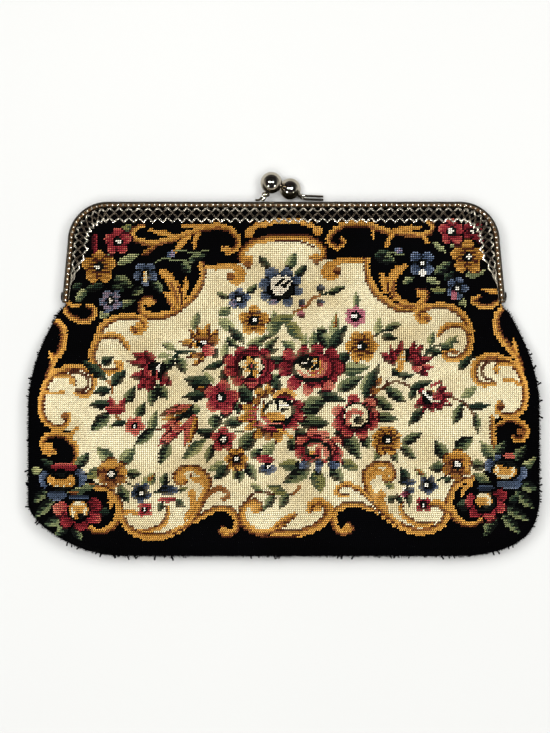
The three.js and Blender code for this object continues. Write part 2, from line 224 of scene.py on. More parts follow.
SCROLLS: tuple[Scroll, ...] = (
    # Dome and the bracket above it
    Scroll(4.0, 1, ((-16.5, 147), (-20.2, 146.8), (-21.6, 149.8), (-20.2, 152.9), (-16.4, 156.4),
        (-10.3, 158.5), (0.7, 159.4), (8.5, 159.4), (14.6, 158), (18.6, 155.2), (20.2, 151.6), (18.6, 148.8),
        (13.5, 149))),
    Scroll(3.6, 0, ((-17.4, 161.4), (-16.4, 163.4), (-13.4, 165.2), (-8, 166.7), (0, 167.5), (8, 167.2),
        (13, 165.8), (16.4, 163.8), (17.4, 162.4))),
    # Fronds across the top, left then right
    Scroll(4.0, -1, ((-70.5, 165), (-74.3, 164.3), (-76.3, 161), (-73.3, 158), (-66.8, 156.5),
        (-59.3, 157.5), (-51.8, 160), (-44.3, 162.6), (-38, 164.4), (-31, 164.8), (-25.6, 162.4),
        (-22.8, 158), (-24.3, 153.6), (-28.2, 152), (-30.2, 154))),
    Scroll(3.4, 0, ((-67, 163.2), (-59.3, 161.2), (-53.5, 159.3))),
    Scroll(2.6, 0, ((-51, 165.2), (-44.3, 164.8), (-38, 165.4))),
    Scroll(3.8, 0, ((-47.6, 159.6), (-51.2, 156.6), (-54.4, 152.2))),
    Scroll(2.8, 0, ((-42.6, 161.8), (-44.4, 158.6), (-45, 154.2))),
    Scroll(4.0, 1, ((72.5, 167.6), (75, 164.6), (72.4, 161.6), (68.3, 160.8), (58.8, 161.4), (50, 163),
        (44, 165.3), (38, 166.6), (32, 166.2), (28.3, 164.7), (23.3, 161), (22.8, 157), (26.8, 154.4),
        (30.2, 156.6), (29, 158.8))),
    Scroll(3.2, 0, ((52, 162.6), (58, 163.2), (63.3, 164.6), (68, 164.4))),
    Scroll(3.4, 0, ((55.4, 162.2), (53, 158.8), (51.6, 154.6))),
    Scroll(2.6, 0, ((70, 160.4), (72.4, 156.2))),
    Scroll(1.8, 0, ((44.5, 164), (45, 158.8))),
    # Shoulders of the panel, each with its acanthus
    Scroll(3.8, 0, ((-42, 144.8), (-34.3, 144.6), (-26, 145), (-21.8, 143), (-20.8, 139.4), (-23, 136.8),
        (-26.4, 137))),
    Scroll(4.6, 1, ((-41, 146.5), (-40.3, 141), (-42.3, 134.6), (-45.8, 129), (-51.8, 124), (-57.8, 120.6),
        (-65.3, 119.6), (-70.3, 121.6), (-71.3, 126), (-67.8, 128.6), (-65, 127))),
    Scroll(6.0, 0, ((-61, 142), (-58, 139.4), (-55.2, 135.5), (-52.6, 130.5), (-51.6, 126))),
    Scroll(3.4, 0, ((-48.8, 138), (-49, 134), (-50.6, 129))),
    Scroll(4.2, 0, ((-58.9, 130.8), (-56, 128.4), (-55, 124.6))),
    Scroll(3.8, 0, ((42.5, 147.9), (34, 147.9), (28.3, 147.3), (22.2, 145.2), (20.2, 141.6), (22.8, 138.9),
        (26.4, 139.4))),
    Scroll(4.6, -1, ((41.5, 148.5), (41.8, 142), (43, 137), (46, 131.6), (50, 128), (55.8, 124.2),
        (62.3, 123), (67.3, 125), (70.6, 129), (70.6, 132), (67.2, 132.8))),
    Scroll(5.8, 0, ((60.5, 145), (57, 142.6), (54.4, 139), (53.6, 134.5), (55, 129))),
    Scroll(3.8, 0, ((49.2, 140.6), (49.8, 137), (51, 132))),
    Scroll(3.4, 0, ((53.5, 134), (57.3, 128.4), (62.3, 125.4), (66, 125.8))),
    # Side scrolls of the panel
    Scroll(4.4, 1, ((-75.6, 113.6), (-74, 111.8), (-70.6, 112.6), (-69.4, 116), (-72.3, 119), (-79.3, 119.6),
        (-85.3, 118.5), (-90.3, 115), (-92.8, 109.6), (-94.3, 104.6), (-95.5, 100.5), (-94.3, 96.5),
        (-90.8, 92.7), (-86.3, 91.6), (-82.3, 92.6), (-80.8, 95.4), (-83, 96.4))),
    Scroll(4.0, -1, ((-93, 106.5), (-90.8, 109.4), (-86.3, 110.4), (-82.3, 109.4), (-79.8, 107),
        (-77.6, 103.8))),
    Scroll(4.4, -1, ((72.5, 118.8), (70.6, 117.2), (67, 118.6), (67.2, 122.4), (73.8, 124.8), (80.8, 125),
        (87.2, 122.5), (91.3, 118), (93, 113.5), (92.9, 107), (91.4, 102), (87.6, 98.8), (82.6, 98.2),
        (79.6, 100), (80.6, 102.4), (83.6, 102.8))),
    Scroll(4.0, -1, ((77.2, 110.4), (80, 113.9), (84.5, 115.5), (89, 115), (92.6, 111.4))),
    # Ears
    Scroll(4.2, 1, ((-103, 81.3), (-98.5, 80.3), (-95, 83), (-94, 88), (-96.8, 92.3), (-102, 94.2),
        (-108, 93.4), (-113.5, 90.8), (-117.3, 87), (-119.3, 82), (-120.5, 76.5), (-120.2, 71),
        (-117.7, 66.8), (-113.5, 64.6), (-109, 64.9), (-106.6, 68), (-107.4, 71.2))),
    Scroll(2.8, 1, ((-115, 89), (-109, 90), (-105, 88.6), (-103.6, 86))),
    Scroll(2.2, 0, ((-119, 82), (-114, 81.2), (-109, 82))),
    Scroll(4.2, -1, ((104, 86), (99, 85.2), (95.3, 87.5), (94.2, 92), (95.6, 96.5), (100, 99.2), (106, 99.2),
        (112, 97.2), (116, 93.3), (118.6, 88), (120, 82), (119.4, 76), (117, 72), (112, 70), (107.3, 71),
        (105.6, 74), (107, 77))),
    Scroll(2.8, -1, ((114, 95.5), (108, 96.4), (105, 94.2), (105.4, 91.6))),
    Scroll(2.2, 0, ((109, 87.8), (113.5, 87.6), (118, 84.6))),
    # Strands and curls along the side seams
    Scroll(4.8, -1, ((-116, 118.5), (-111.8, 115.5), (-110, 111), (-110.2, 105.5), (-111.5, 101.5),
        (-114.3, 98), (-115.5, 94), (-117.5, 89))),
    Scroll(2.4, 0, ((-116.8, 102), (-115, 97))),
    Scroll(4.8, 1, ((110.6, 125), (107.2, 120.6), (106.6, 115.6), (107.5, 110.5), (110.5, 106),
        (113.6, 102.5), (116, 99), (118.6, 93))),
    Scroll(2.4, 0, ((115, 108), (116.2, 101))),
    Scroll(3.8, -1, ((-98.6, 125.4), (-95.4, 123.6), (-95.2, 120), (-98.6, 117.6), (-103.2, 118),
        (-108.2, 121), (-110.2, 125.5))),
    Scroll(3.0, 0, ((-109.8, 128.6), (-106.8, 125.8), (-102.6, 125.4))),
    Scroll(3.8, 1, ((98, 130), (94.9, 127.8), (98.8, 125.2), (104.8, 125.4), (108.8, 128.6))),
    Scroll(3.0, 0, ((100.4, 133.2), (104.3, 132.8), (107.8, 131.8))),
    Scroll(3.8, -1, ((-113.2, 52.2), (-116.8, 51.2), (-119.8, 54.4), (-119.2, 58.4), (-115.2, 60.8),
        (-110.2, 60.8), (-105.8, 58), (-103.2, 54.4), (-102.8, 49.6), (-104, 46.4))),
    Scroll(2.6, 0, ((-102.5, 64), (-105.5, 60.5), (-106, 57))),
    Scroll(3.6, -1, ((103, 69.5), (103.3, 63), (103.7, 58), (105, 53))),
    Scroll(3.8, -1, ((105, 65), (111, 68), (116.5, 67), (120.5, 63.3), (119.4, 59.4), (116, 57.6),
        (113.4, 59.5))),
    # Lobes in the corners of the base
    Scroll(4.4, 1, ((-96, 35.4), (-92.8, 34.8), (-87.3, 33.6), (-83.3, 30), (-81.5, 26), (-81.9, 20),
        (-84.8, 15.5), (-89.8, 13), (-94.8, 13.4), (-97.3, 15.6))),
    Scroll(3.0, 0, ((-86.8, 31), (-85.6, 28), (-85.8, 24.6))),
    Scroll(4.4, -1, ((95, 39.4), (93.2, 39), (88.3, 37.6), (84.6, 35), (82.4, 30.6), (81.9, 26),
        (83.8, 21.4), (86.8, 18), (92.2, 16), (97.4, 18))),
    Scroll(3.2, 0, ((93, 36), (90, 34.6), (88, 30.6))),
    # Lobes along the base, left then right
    Scroll(4.6, 1, ((-80.6, 24), (-80.2, 19.6), (-76.3, 13.8), (-70.3, 10.8), (-64.3, 10), (-58.3, 10.8),
        (-52.8, 12.9), (-47.5, 16))),
    Scroll(4.6, -1, ((-54, 13), (-46.8, 17), (-43.3, 22), (-40.8, 28), (-38.3, 33), (-37.6, 37.4),
        (-39.8, 41.4), (-43.8, 43.8), (-48.2, 44.2), (-52.2, 42), (-53.4, 39), (-51.2, 36.8),
        (-48.6, 37.6))),
    Scroll(3.8, 0, ((-46.4, 31.6), (-44.8, 27.6), (-45.8, 23), (-48.8, 19))),
    Scroll(3.8, 0, ((-45, 38.8), (-41.2, 38.2), (-39, 35))),
    Scroll(3.2, 0, ((-73.2, 22), (-76.3, 23), (-79.2, 21.4))),
    Scroll(3.4, -1, ((-57.3, 24.4), (-57.8, 19.5), (-60.8, 15.6), (-66, 13.4), (-72, 13.6))),
    Scroll(4.6, -1, ((81.2, 29), (80.6, 22), (78.3, 16.4), (72.3, 13.2), (65.8, 12.6), (59.8, 14.6),
        (54, 17.4), (49, 20.6))),
    Scroll(4.6, 1, ((56, 16.8), (50.8, 21.5), (46.3, 25.5), (43.3, 30.5), (41.2, 35.5), (40.4, 40),
        (41.8, 43.4), (46.3, 46), (50.8, 45.8), (53.8, 42.4), (53.2, 38.8), (50, 38.6))),
    Scroll(3.8, 0, ((48, 31), (48.2, 27), (51, 22.4))),
    Scroll(3.8, 0, ((49.6, 41.4), (45.6, 41.8), (43, 38.6))),
    Scroll(3.2, 1, ((57.8, 27.8), (58.4, 22.5), (62.3, 18.4), (68.3, 16), (74, 17))),
    Scroll(4.8, -1, ((72.4, 26.8), (76.5, 26.6), (80.8, 23.2))),
    # Hooks and the middle of the base
    Scroll(3.2, 1, ((43, 28), (39.8, 31.4), (35.8, 34.4), (30.8, 36), (26.8, 34.4), (26.2, 31.8),
        (28.8, 30.6), (31.6, 30.8))),
    Scroll(4.2, 1, ((-44, 18), (-41.8, 19.4), (-35.8, 23), (-29.8, 24.6), (-24.8, 22), (-23.2, 18),
        (-24.2, 13.6), (-28.2, 11.4), (-31.2, 12.4), (-30.4, 14.4))),
    Scroll(4.2, -1, ((46, 22.6), (40.8, 24.8), (34.8, 26.4), (28.3, 25), (24.4, 21.4), (24.4, 18.6),
        (25.8, 14.4), (29.8, 12), (33.2, 14), (31.8, 16.4))),
    Scroll(4.4, -1, ((-12.4, 23.2), (-11.9, 26), (-14.7, 27.4), (-18.8, 26), (-21, 22), (-20, 17),
        (-15.8, 13.4), (-10.2, 12), (-5.2, 13.6), (-0.2, 16.5), (5.3, 20.8))),
    Scroll(5.2, 1, ((-6, 11.6), (3, 11.8), (8.3, 12.2), (15.8, 15), (21, 19.6), (22, 24.4), (17.8, 27.4),
        (13.6, 26.2), (12.8, 23.2))),
    Scroll(3.6, -1, ((-4.2, 15.8), (0.7, 18.8), (5.5, 21.5))),
)

# Round ends of the scrolls: column, row, radius
BALLS: dict[Dye, tuple[Place, ...]] = {
    Dye.GOLD: (
        (-18, 148.2, 2.6), (16.4, 149.6, 2.0), (-17.4, 161.6, 2.5), (17.2, 162.8, 2.5), (-28.4, 153.4, 1.8),
        (-23.4, 139.8, 2.6), (23.2, 142, 2.8), (-116.6, 54.4, 2.6), (-45.6, 31.4, 2.2), (48, 31, 2.3),
        (-29.8, 13.4, 1.8), (30.8, 14.6, 1.8), (-14.2, 23.8, 2.0), (-104.6, 87, 1.6), (105.4, 92.8, 1.6),
        (-50.2, 39.4, 1.8), (-67.4, 126.6, 2.2), (67.8, 131, 1.8), (-72.4, 114.4, 2.2), (70.4, 119.6, 2.2),
        (-82.4, 94.8, 1.2), (50.2, 41.4, 2.0), (16.6, 24.2, 1.8),
    ),
    Dye.BROWN: (
        (-26.8, 139.6, 2.1), (26.6, 142.6, 2.1), (-74.4, 112.6, 1.5), (71.6, 118.4, 1.5), (-108.6, 69.6, 1.9),
        (107.6, 74.6, 1.9), (117, 62, 1.9), (-17.8, 145.6, 1.9), (16.4, 147.2, 1.5), (-46, 40.6, 0.9),
    ),
}

# Dark lines inside the ears and along the dome, drawn over the scrolls
CREASES: tuple[tuple[float, Path], ...] = (
    (1.5, ((-106, 91.8), (-101, 91.2), (-97.5, 88.8), (-97, 85.3), (-99, 83), (-102.5, 82.8))),
    (1.5, ((106, 97.4), (102, 97), (98.8, 94.6), (98.2, 91.2), (99.6, 88.8), (103, 87.8))),
    (1.0, ((-4, 157.4), (2, 157.7), (9, 157.1), (15, 154.4))),
    (1.0, ((-10, 10.4), (0, 10.2), (8, 10.6))),
)

# Thin stems: width, then the path
STEMS: dict[Wool, tuple[tuple[float, Path], ...]] = {
    Wool.SAGE: (
        (1.1, ((-65.8, 146), (-60.8, 148.5), (-54.3, 148), (-45.8, 147))),
        (1.1, ((50, 151), (55, 151.4), (60, 150.6))),
        (1.0, ((-54, 153), (-44, 152), (-38, 153))),
    ),
    Wool.PINE: (
        (1.3, ((-54.8, 99), (-51.3, 101.3), (-44.3, 101.8))),
        (1.1, ((-60, 105), (-54, 102.4), (-50, 101.6))),
        (1.3, ((43.6, 108.6), (48, 111.4), (54, 114.6))),
        (1.2, ((70, 100), (74, 104), (80, 106), (87, 107))),
        (1.1, ((-24, 62), (-18, 63))),
        (1.3, ((-36, 59.6), (-32, 59.4))),
        (1.1, ((-80.3, 38), (-77, 36.4), (-73.5, 35))),
        (1.1, ((75.8, 38.2), (78, 39), (80.4, 40))),
        (1.2, ((17.6, 131.2), (20, 130.8), (23, 131.4))),
        (1.1, ((-64, 32.2), (-61.5, 32), (-60, 32.6))),
    ),
    Wool.BROWN: (
        (1.6, ((4.8, 121.5), (8.6, 123.2), (11.8, 125.4), (14.2, 128.6), (17.8, 129.8))),
        (1.5, ((-89.3, 88.5), (-85.8, 86), (-84.8, 81.5))),
        (1.4, ((7.8, 35.5), (6.4, 32.6), (4.2, 31.2))),
        (2.6, ((-38.4, 30), (-36, 32.2), (-32.3, 34.2), (-28.6, 32.8), (-27.6, 30.4), (-29.8, 28.8))),
        (1.0, ((-84, 71), (-80, 67), (-77, 66))),
    ),
    Wool.UMBER: (
        (1.1, ((-68.3, 63.4), (-61.3, 63.4))),
        (1.2, ((4.4, 31), (-1.8, 31), (-6.8, 31.6), (-13.8, 32), (-17.8, 28.6))),
        (1.1, ((50, 84.2), (51.4, 87.6))),
        (1.3, ((48.3, 83), (54.3, 86.8), (58.6, 86.2), (63.3, 84.2))),
        (1.2, ((82, 79.6), (88, 77), (92, 73.6), (95, 69))),
    ),
}

# Leaves: base column, base row, tip column, tip row, width; below zero, the light half lies under the rib
LEAVES: dict[Dye, tuple[Row, ...]] = {
    Dye.MINT: (
        (-32, 118, -24, 112, 5.4), (-29.4, 98, -29, 106.5, 3.8), (-54.3, 103, -59.8, 106, 3.6),
        (-62.8, 99.6, -56, 100, 2.4), (-39.3, 91.2, -34.5, 86.2, 3), (23.6, 104, 26.2, 121, 4.8),
        (9.6, 103.4, 11, 111, 3), (46.4, 111, 47.6, 118.5, 3.6), (-10.4, 51, -4.2, 57, 5),
        (-36.8, 43.4, -29, 48, 3), (-86.8, 64.4, -83.6, 65.8, 2.4), (69.8, 40, 64.8, 44.2, 3),
        (-70, 36, -64.4, 41.4, 3), (91.4, 140.8, 101, 142.6, 4.2), (87.6, 129.4, 91.4, 124.8, 4),
        (-125.4, 43.4, -119.8, 42, 3.6), (83.6, 154.8, 90, 156.6, 3), (71.6, 138.8, 78, 136.4, 3.4),
        (-83.4, 146, -73.2, 151, 3.8), (88, 79, 95.5, 84.5, 4), (-92, 119.4, -87.6, 122.4, 4),
        (75.2, 156.8, 81.8, 151.4, 2.8),
    ),
    Dye.SAGE: (
        (-44.8, 113.4, -42.8, 121, 4.2), (-5.4, 109.6, -4.6, 121.6, 6), (-10.4, 106.4, -18.4, 105.4, 4.8),
        (5.4, 103.4, -0.8, 107.2, 4.8), (14.2, 103, 15.2, 111.8, 4.4), (2.2, 143.4, 5.4, 151.4, 5),
        (-26.6, 123.6, -32.4, 120.4, 4.6), (35.8, 124, 36.3, 131.2, 3.4), (39.2, 81, 42.2, 91.4, 4.4),
        (27.8, 92.6, 41.6, 94, 6.4), (-65.8, 62.6, -63.2, 71.8, 4.4), (-80.8, 46, -74.2, 53.8, 6),
        (-84.6, 46.8, -92.4, 54.2, -6), (-39.6, 57.8, -49.8, 48.8, -5.2), (72.8, 105, 74.4, 111.8, 3.4),
        (47.8, 53.2, 44.6, 48.2, 4), (104.8, 48, 97.6, 56.8, 6), (-106.8, 32.6, -94, 35.4, 5),
        (94, 41.4, 102.4, 37, 4), (117.6, 42.8, 125.4, 49.2, 4), (-16.4, 36.2, -10, 32.4, 3),
        (-85.6, 149, -90, 151.4, 3.4), (-82.2, 124.8, -74.6, 128.2, 3.6), (60.2, 136.4, 65, 139.8, 3),
        (-103.8, 127.8, -98.6, 134.2, 4), (80, 104, 86.4, 110, 3.4), (-49.8, 93, -53, 98.6, 4.6),
    ),
    Dye.OLIVE: (
        (-6, 116.8, 4.8, 119.6, 5), (1.6, 117, 9, 107.6, 5.8), (-82.4, 160.8, -76.6, 165.8, 4.4),
        (-66.4, 35.6, -63.4, 41.4, 2.8), (-23.4, 44, -24.6, 38, 3), (1.4, 31, -8, 35.6, -4),
        (-52.2, 33, -48, 34.2, 2.6), (28.6, 47.8, 36.4, 43.8, 5), (54.4, 34.4, 50, 36.4, 3.4),
        (64.4, 49.4, 58.2, 54.6, -3), (7.8, 45.6, -2.4, 45.6, 5.4), (73.6, 133, 83, 132.8, 2.8),
        (-90.4, 43.6, -97.8, 39.4, -4.8), (15.6, 43.2, 18.4, 32.2, 6.6),
    ),
    Dye.GREEN: (
        (-28.4, 108.2, -22.6, 103.8, 3.4), (-12.4, 107.4, -5.6, 110.2, 2.8), (-9.8, 102.8, -3, 108.8, 3.6),
        (21.8, 103.8, 17.2, 112.8, 5), (-60.4, 92.4, -54.6, 98.8, 4.8), (-52.8, 98.6, -48.6, 91.2, 5),
        (-64.8, 83.6, -65.4, 75.2, 4.8), (-62.8, 85.6, -57.6, 78.2, 4.8), (-86.8, 70.6, -95, 63.2, -6.2),
        (-78.4, 76.4, -74.2, 83.8, 4.8), (-72.8, 69, -69.2, 76.2, 4.8), (-64.8, 62.6, -73.4, 55.8, -4.8),
        (-33.8, 70.4, -34.4, 63.2, 6.2), (-21, 67, -30, 66.4, 5), (-8.4, 85.8, -1.6, 90.2, 5),
        (-22, 83.4, -14, 84.2, 6), (-24.4, 77.4, -21.6, 70.8, 4), (-21.8, 53.4, -13.6, 62.2, 7),
        (8.6, 72, 20.6, 78.2, 8), (7.6, 67.4, 21.6, 66, 7), (27, 82.8, 38, 88.8, 6),
        (50.6, 83.6, 60, 77.2, 5.2), (43.2, 79.2, 54, 73.2, 5.2), (45.6, 69.6, 55.6, 68.4, 5),
        (58.6, 56.4, 67.6, 61, 4.6), (58.2, 54.6, 64.6, 49.2, 4.6), (29.6, 61.6, 37.4, 49.2, 7),
        (39.2, 61.2, 41.4, 53.6, 5), (2.2, 57.8, 7, 53.8, 6), (12.4, 43.6, 0.6, 37.4, -6.4),
        (23.6, 43.8, 29, 37.6, 6), (-16, 48.8, -11.4, 54, 4.6), (-18.8, 46.6, -14, 38.6, 4.8),
        (-22, 44, -21.6, 37.2, 4.4), (-56.8, 56.6, -61.4, 46.2, -5.2), (-35.2, 55, -38.4, 47.2, 4.2),
        (53.6, 52.8, 56, 47.2, 3.8), (79.8, 49.2, 75, 57.4, 5.8), (84.6, 53, 93, 59.2, -6.2),
        (79.4, 45, 72, 44, 4.8), (92.6, 46.6, 100, 44.4, 4.8), (-77.8, 41.6, -71, 41, 4.4),
        (-81.8, 35.6, -76.6, 27.2, 4.6), (-59.8, 35.6, -58.6, 41.6, 4.2), (-4.6, 30.6, -9.8, 23.8, 4.2),
        (1.8, 30.6, -2.4, 24.4, 4.6), (-102.4, 44.4, -97, 51.2, 5), (104.8, 50.6, 109.6, 57, 5),
        (114.6, 48.4, 120, 54.8, 5), (-110.4, 19.6, -119.4, 14.8, -4.8), (110.2, 24.6, 121.4, 18.2, -4.8),
        (104.8, 20.2, 99.6, 10.8, 5.6), (-27.8, 128.4, -33.4, 131.2, 2.8), (-18.2, 131, -13.8, 135.2, 3.2),
        (22, 131, 30.8, 134.8, 3.4), (21.4, 112, 16.6, 113.4, 3), (-84.8, 139.2, -76, 134.8, 6),
        (-70.6, 134.2, -76.4, 130.2, -4.2), (-66.4, 139.2, -60.4, 130.6, 4.2),
        (-51, 146.2, -46.4, 141.6, 4.6), (-47, 148, -39, 150.8, 3.6), (76, 140.8, 84, 147.4, 4.6),
        (50.6, 113.4, 58.6, 115.6, 3.4), (84, 66.5, 88.5, 76.5, 4.6), (95, 71, 96, 62, 3.4),
        (77.6, 104.8, 84, 104, 3.4), (46, 151, 56, 147, 6), (-118, 32.6, -124.4, 27.2, -4.4),
        (-114.6, 28.4, -123.4, 19.8, -5), (115, 32.6, 124, 24.2, -5), (108.2, 21.2, 117, 11.8, -4.6),
        (117.6, 36.2, 126, 33.2, -5), (-107.2, 15.8, -113.8, 10.2, 4.4), (-103.8, 15.8, -101.2, 8.2, 4.8),
    ),
    Dye.PINE: (
        (-27, 113.8, -19.4, 105.8, 4.2), (-9, 101.4, -3, 103.2, 3.2), (22.6, 102.8, 31, 114.8, 5.2),
        (-7.4, 144, -12, 149.6, 3.8), (5.6, 138.8, 11.6, 145.6, 4.2), (-7, 98, 2.4, 97, 4.2),
        (-7, 94, -0.4, 95.4, 4), (-34.8, 98.4, -33.4, 103.2, 3.2), (-86.2, 83, -94, 81.4, 4.6),
        (-86.6, 76, -95.6, 75.4, 4.6), (-78.6, 67, -85, 65.6, 3.2), (-88.6, 88.4, -99.6, 97.2, 4.8),
        (-85.2, 85.4, -78.4, 92.4, 4.8), (-90, 96.4, -85, 98.8, 4.6), (-36, 84.4, -48.6, 88, 6.8),
        (-38, 80.6, -49.6, 79.2, 4.8), (-29.2, 86.4, -30.4, 92.8, 4.6), (-30, 96.6, -39.6, 92.4, 3.2),
        (-28.4, 66.6, -23.6, 66, 4), (-34.6, 61, -43.6, 62.6, 4.6), (-22, 82.6, -14.4, 76.2, 6.4),
        (-4.6, 83, -1.8, 87.4, 4.4), (-12.6, 82, -12, 87, 4), (17.4, 81.6, 30, 76.8, 5.2),
        (5.4, 62.6, 11, 60, 5), (40, 78.8, 46.8, 94.8, 5.2), (27.4, 96.8, 32, 100.8, 5.2),
        (26, 63.2, 31, 58.4, 6), (68.8, 73.2, 62, 65.8, 4.6), (62.6, 78.2, 64.6, 83.2, 3.4),
        (63, 83.4, 72.4, 87, 4), (48.4, 109.4, 56.4, 108.4, 3.6), (70.6, 102.8, 79, 101, 4),
        (-27, 45.6, -34, 38.8, 5.2), (-53.4, 28, -49, 24.8, 3.6), (-59.8, 27, -62.4, 22.4, 3.2),
        (61.4, 37.6, 58, 44.2, 4.6), (61.6, 31.4, 61.8, 25.6, 3.4), (54.4, 30.4, 51.6, 27, 3.6),
        (79.8, 37, 82.8, 39.2, 3.4), (-92.4, 22.4, -86.4, 22.6, 5), (86, 25.6, 92.8, 26, 5),
        (112, 27.4, 116, 30, 4.6), (-114, 44.6, -120.2, 48, 3.6), (-91, 135.6, -99.6, 133, 4.4),
        (-106, 133.4, -101, 136.4, 4), (-86, 135, -80, 132.4, 3.6), (80.8, 138, 84.6, 141.8, 4.4),
        (45.6, 149.6, 52, 152.4, 4), (-31.4, 70.2, -26, 71.4, 3.4), (91.5, 74.5, 102, 75, 3.4),
        (53.4, 92.8, 58, 90, 4), (57, 89.4, 64, 90, 3), (-49.4, 69.6, -42, 74.6, 5.4),
        (-54, 68, -46.6, 75, 3), (87, 93, 93.5, 100.5, 3.6), (55.4, 31, 58.4, 27, 3),
    ),
    Dye.TAN: (
        (-70.8, 150.6, -64.2, 154.8, 3), (-67, 37.6, -64.2, 41, 2), (69.4, 40.6, 65, 43.6, 1.6),
        (-38, 82.8, -44, 83.8, 2.4), (25.6, 113, 26.4, 121.6, 1.6), (46.4, 85.4, 48, 89.4, 2),
    ),
    Dye.CRIMSON: (
        (-64.6, 96, -74.6, 100.6, 5.4), (-66, 94.4, -77, 97, 3.6), (-66, 91.4, -76.6, 88.8, 4),
        (-66, 89.6, -72, 83.2, 4.4), (-64.6, 89.6, -67.4, 82, 4.6), (-61, 91, -55.8, 84.6, 4),
        (-64.4, 97, -69, 102, 4), (-60.4, 92.4, -58.6, 87, 4), (55.4, 95.6, 48, 101.2, 3.8),
        (55.6, 96.4, 52.8, 104.6, 3.4), (57.4, 97.6, 58.4, 107.8, 3.6), (62.6, 96.4, 65, 107, 4),
        (63.8, 96.4, 68.8, 105.2, 3.8), (64.4, 95.6, 73.8, 99.2, 3.8), (64, 95, 71.6, 90, 4.4),
        (72, 81, 78, 87, 4), (73.4, 80.6, 80, 84, 3.6), (73.4, 79.6, 83.4, 80.6, 4),
        (73.4, 78.4, 82.8, 75.6, 4), (73, 78, 78, 73.2, 4), (72, 78, 73.8, 71.8, 4),
        (71, 78.4, 68.8, 72.2, 4), (70.4, 79, 64.8, 74, 4), (70, 80.6, 66.2, 82.6, 3.4),
    ),
    Dye.RED: (
        (-83.4, 71.6, -86.4, 80, 3.4), (-82.2, 71.6, -79, 78.4, 3.6), (-84, 72.4, -88.6, 74, 3),
        (-50.4, 66, -60.6, 64.6, 4.2), (-50.4, 66, -61.6, 55.8, 6), (64, 94.4, 74, 94, 3),
    ),
    Dye.ORANGE: (
        (-46.6, 75.2, -61, 70.4, 4.6), (-44.4, 70.6, -49, 55.8, 4.8),
    ),
    Dye.YELLOW: (
        (-50, 69.6, -60.4, 68.2, 2), (-42.8, 69.6, -46.8, 55.4, 2.6), (-43.8, 105.4, -51.6, 106.8, 4),
        (-41, 101.4, -48.4, 98.4, 2.8), (-43, 107.4, -46.8, 113, 3), (-41.6, 108, -42.6, 114.4, 3.2),
        (-39, 108.4, -37.4, 116, 3.6), (-36.4, 106.8, -32.8, 113, 3), (-39, 98.8, -45.4, 95, 2.4),
    ),
}

BLOOMS: tuple[Bloom, ...] = (
    Bloom(-83.3, 157.4, 6.8, 5, 90, Dye.RED, 2.2, 0.5, 0),
    Bloom(-92.8, 144.6, 8.4, 5, 90, Dye.YELLOW, 2.1, -0.9, 0),
    Bloom(-69.3, 141.2, 6.2, 5, 54, Dye.BLUE, 1.8),
    Bloom(69.3, 146.4, 6.8, 4, 45, Dye.BLUE, 2.0),
    Bloom(84.3, 162.4, 6.6, 5, 90, Dye.RED, 2.3, -0.6, 0.4),
    Bloom(94.8, 162.5, 5.4, 4, 40, Dye.CRIMSON, 1.2),
    Bloom(92.3, 149.6, 8.4, 5, 90, Dye.YELLOW, 2.1, 0.6, 0.3),
    Bloom(86.8, 134, 5.6, 5, 70, Dye.BLUE, 2.0),
    Bloom(-87, 127.6, 5.6, 5, 40, Dye.LILAC, 1.7),
    Bloom(-22.4, 128.3, 5.4, 5, 15, Dye.BLUE, 1.7),
    Bloom(-14.8, 117.4, 7.6, 5, 90, Dye.YELLOW, 2.1, 0, 0.4),
    Bloom(35.8, 119.5, 5.2, 6, 90, Dye.PINK, 2.0, -0.8, 0),
    Bloom(38.7, 104.5, 8.0, 6, 60, Dye.YELLOW, 2.2, -1.0, -0.2),
    Bloom(-73.8, 65, 5.0, 5, 60, Dye.ROSE, 1.2),
    Bloom(-31.0, 79, 8.4, 5, 80, Dye.RED, 2.3, -0.6, 0),
    Bloom(-29.8, 58.4, 6.2, 5, 90, Dye.RED, 2.1),
    Bloom(-23.5, 48.5, 5.6, 6, 60, Dye.YELLOW, 1.8, 0, 0.3),
    Bloom(50.9, 58, 7.2, 8, 22, Dye.YELLOW, 2.0, 0.6, 0),
    Bloom(-85, 41.4, 7.4, 6, 90, Dye.TAN, 2.8, -0.5, 0),
    Bloom(85.8, 45.6, 7.4, 6, 90, Dye.TAN, 2.8, -0.2, 0.2),
    Bloom(-70.8, 32, 5.0, 5, 50, Dye.NAVY, 1.8, 0.3, 0),
    Bloom(71.3, 35.7, 4.8, 5, 60, Dye.NAVY, 1.6, -0.9, 0),
    Bloom(-68.7, 23.6, 4.0, 4, 45, Dye.RED, 1.2),
    Bloom(69, 26, 4.0, 4, 45, Dye.CRIMSON, 1.2, 0, -0.2),
)

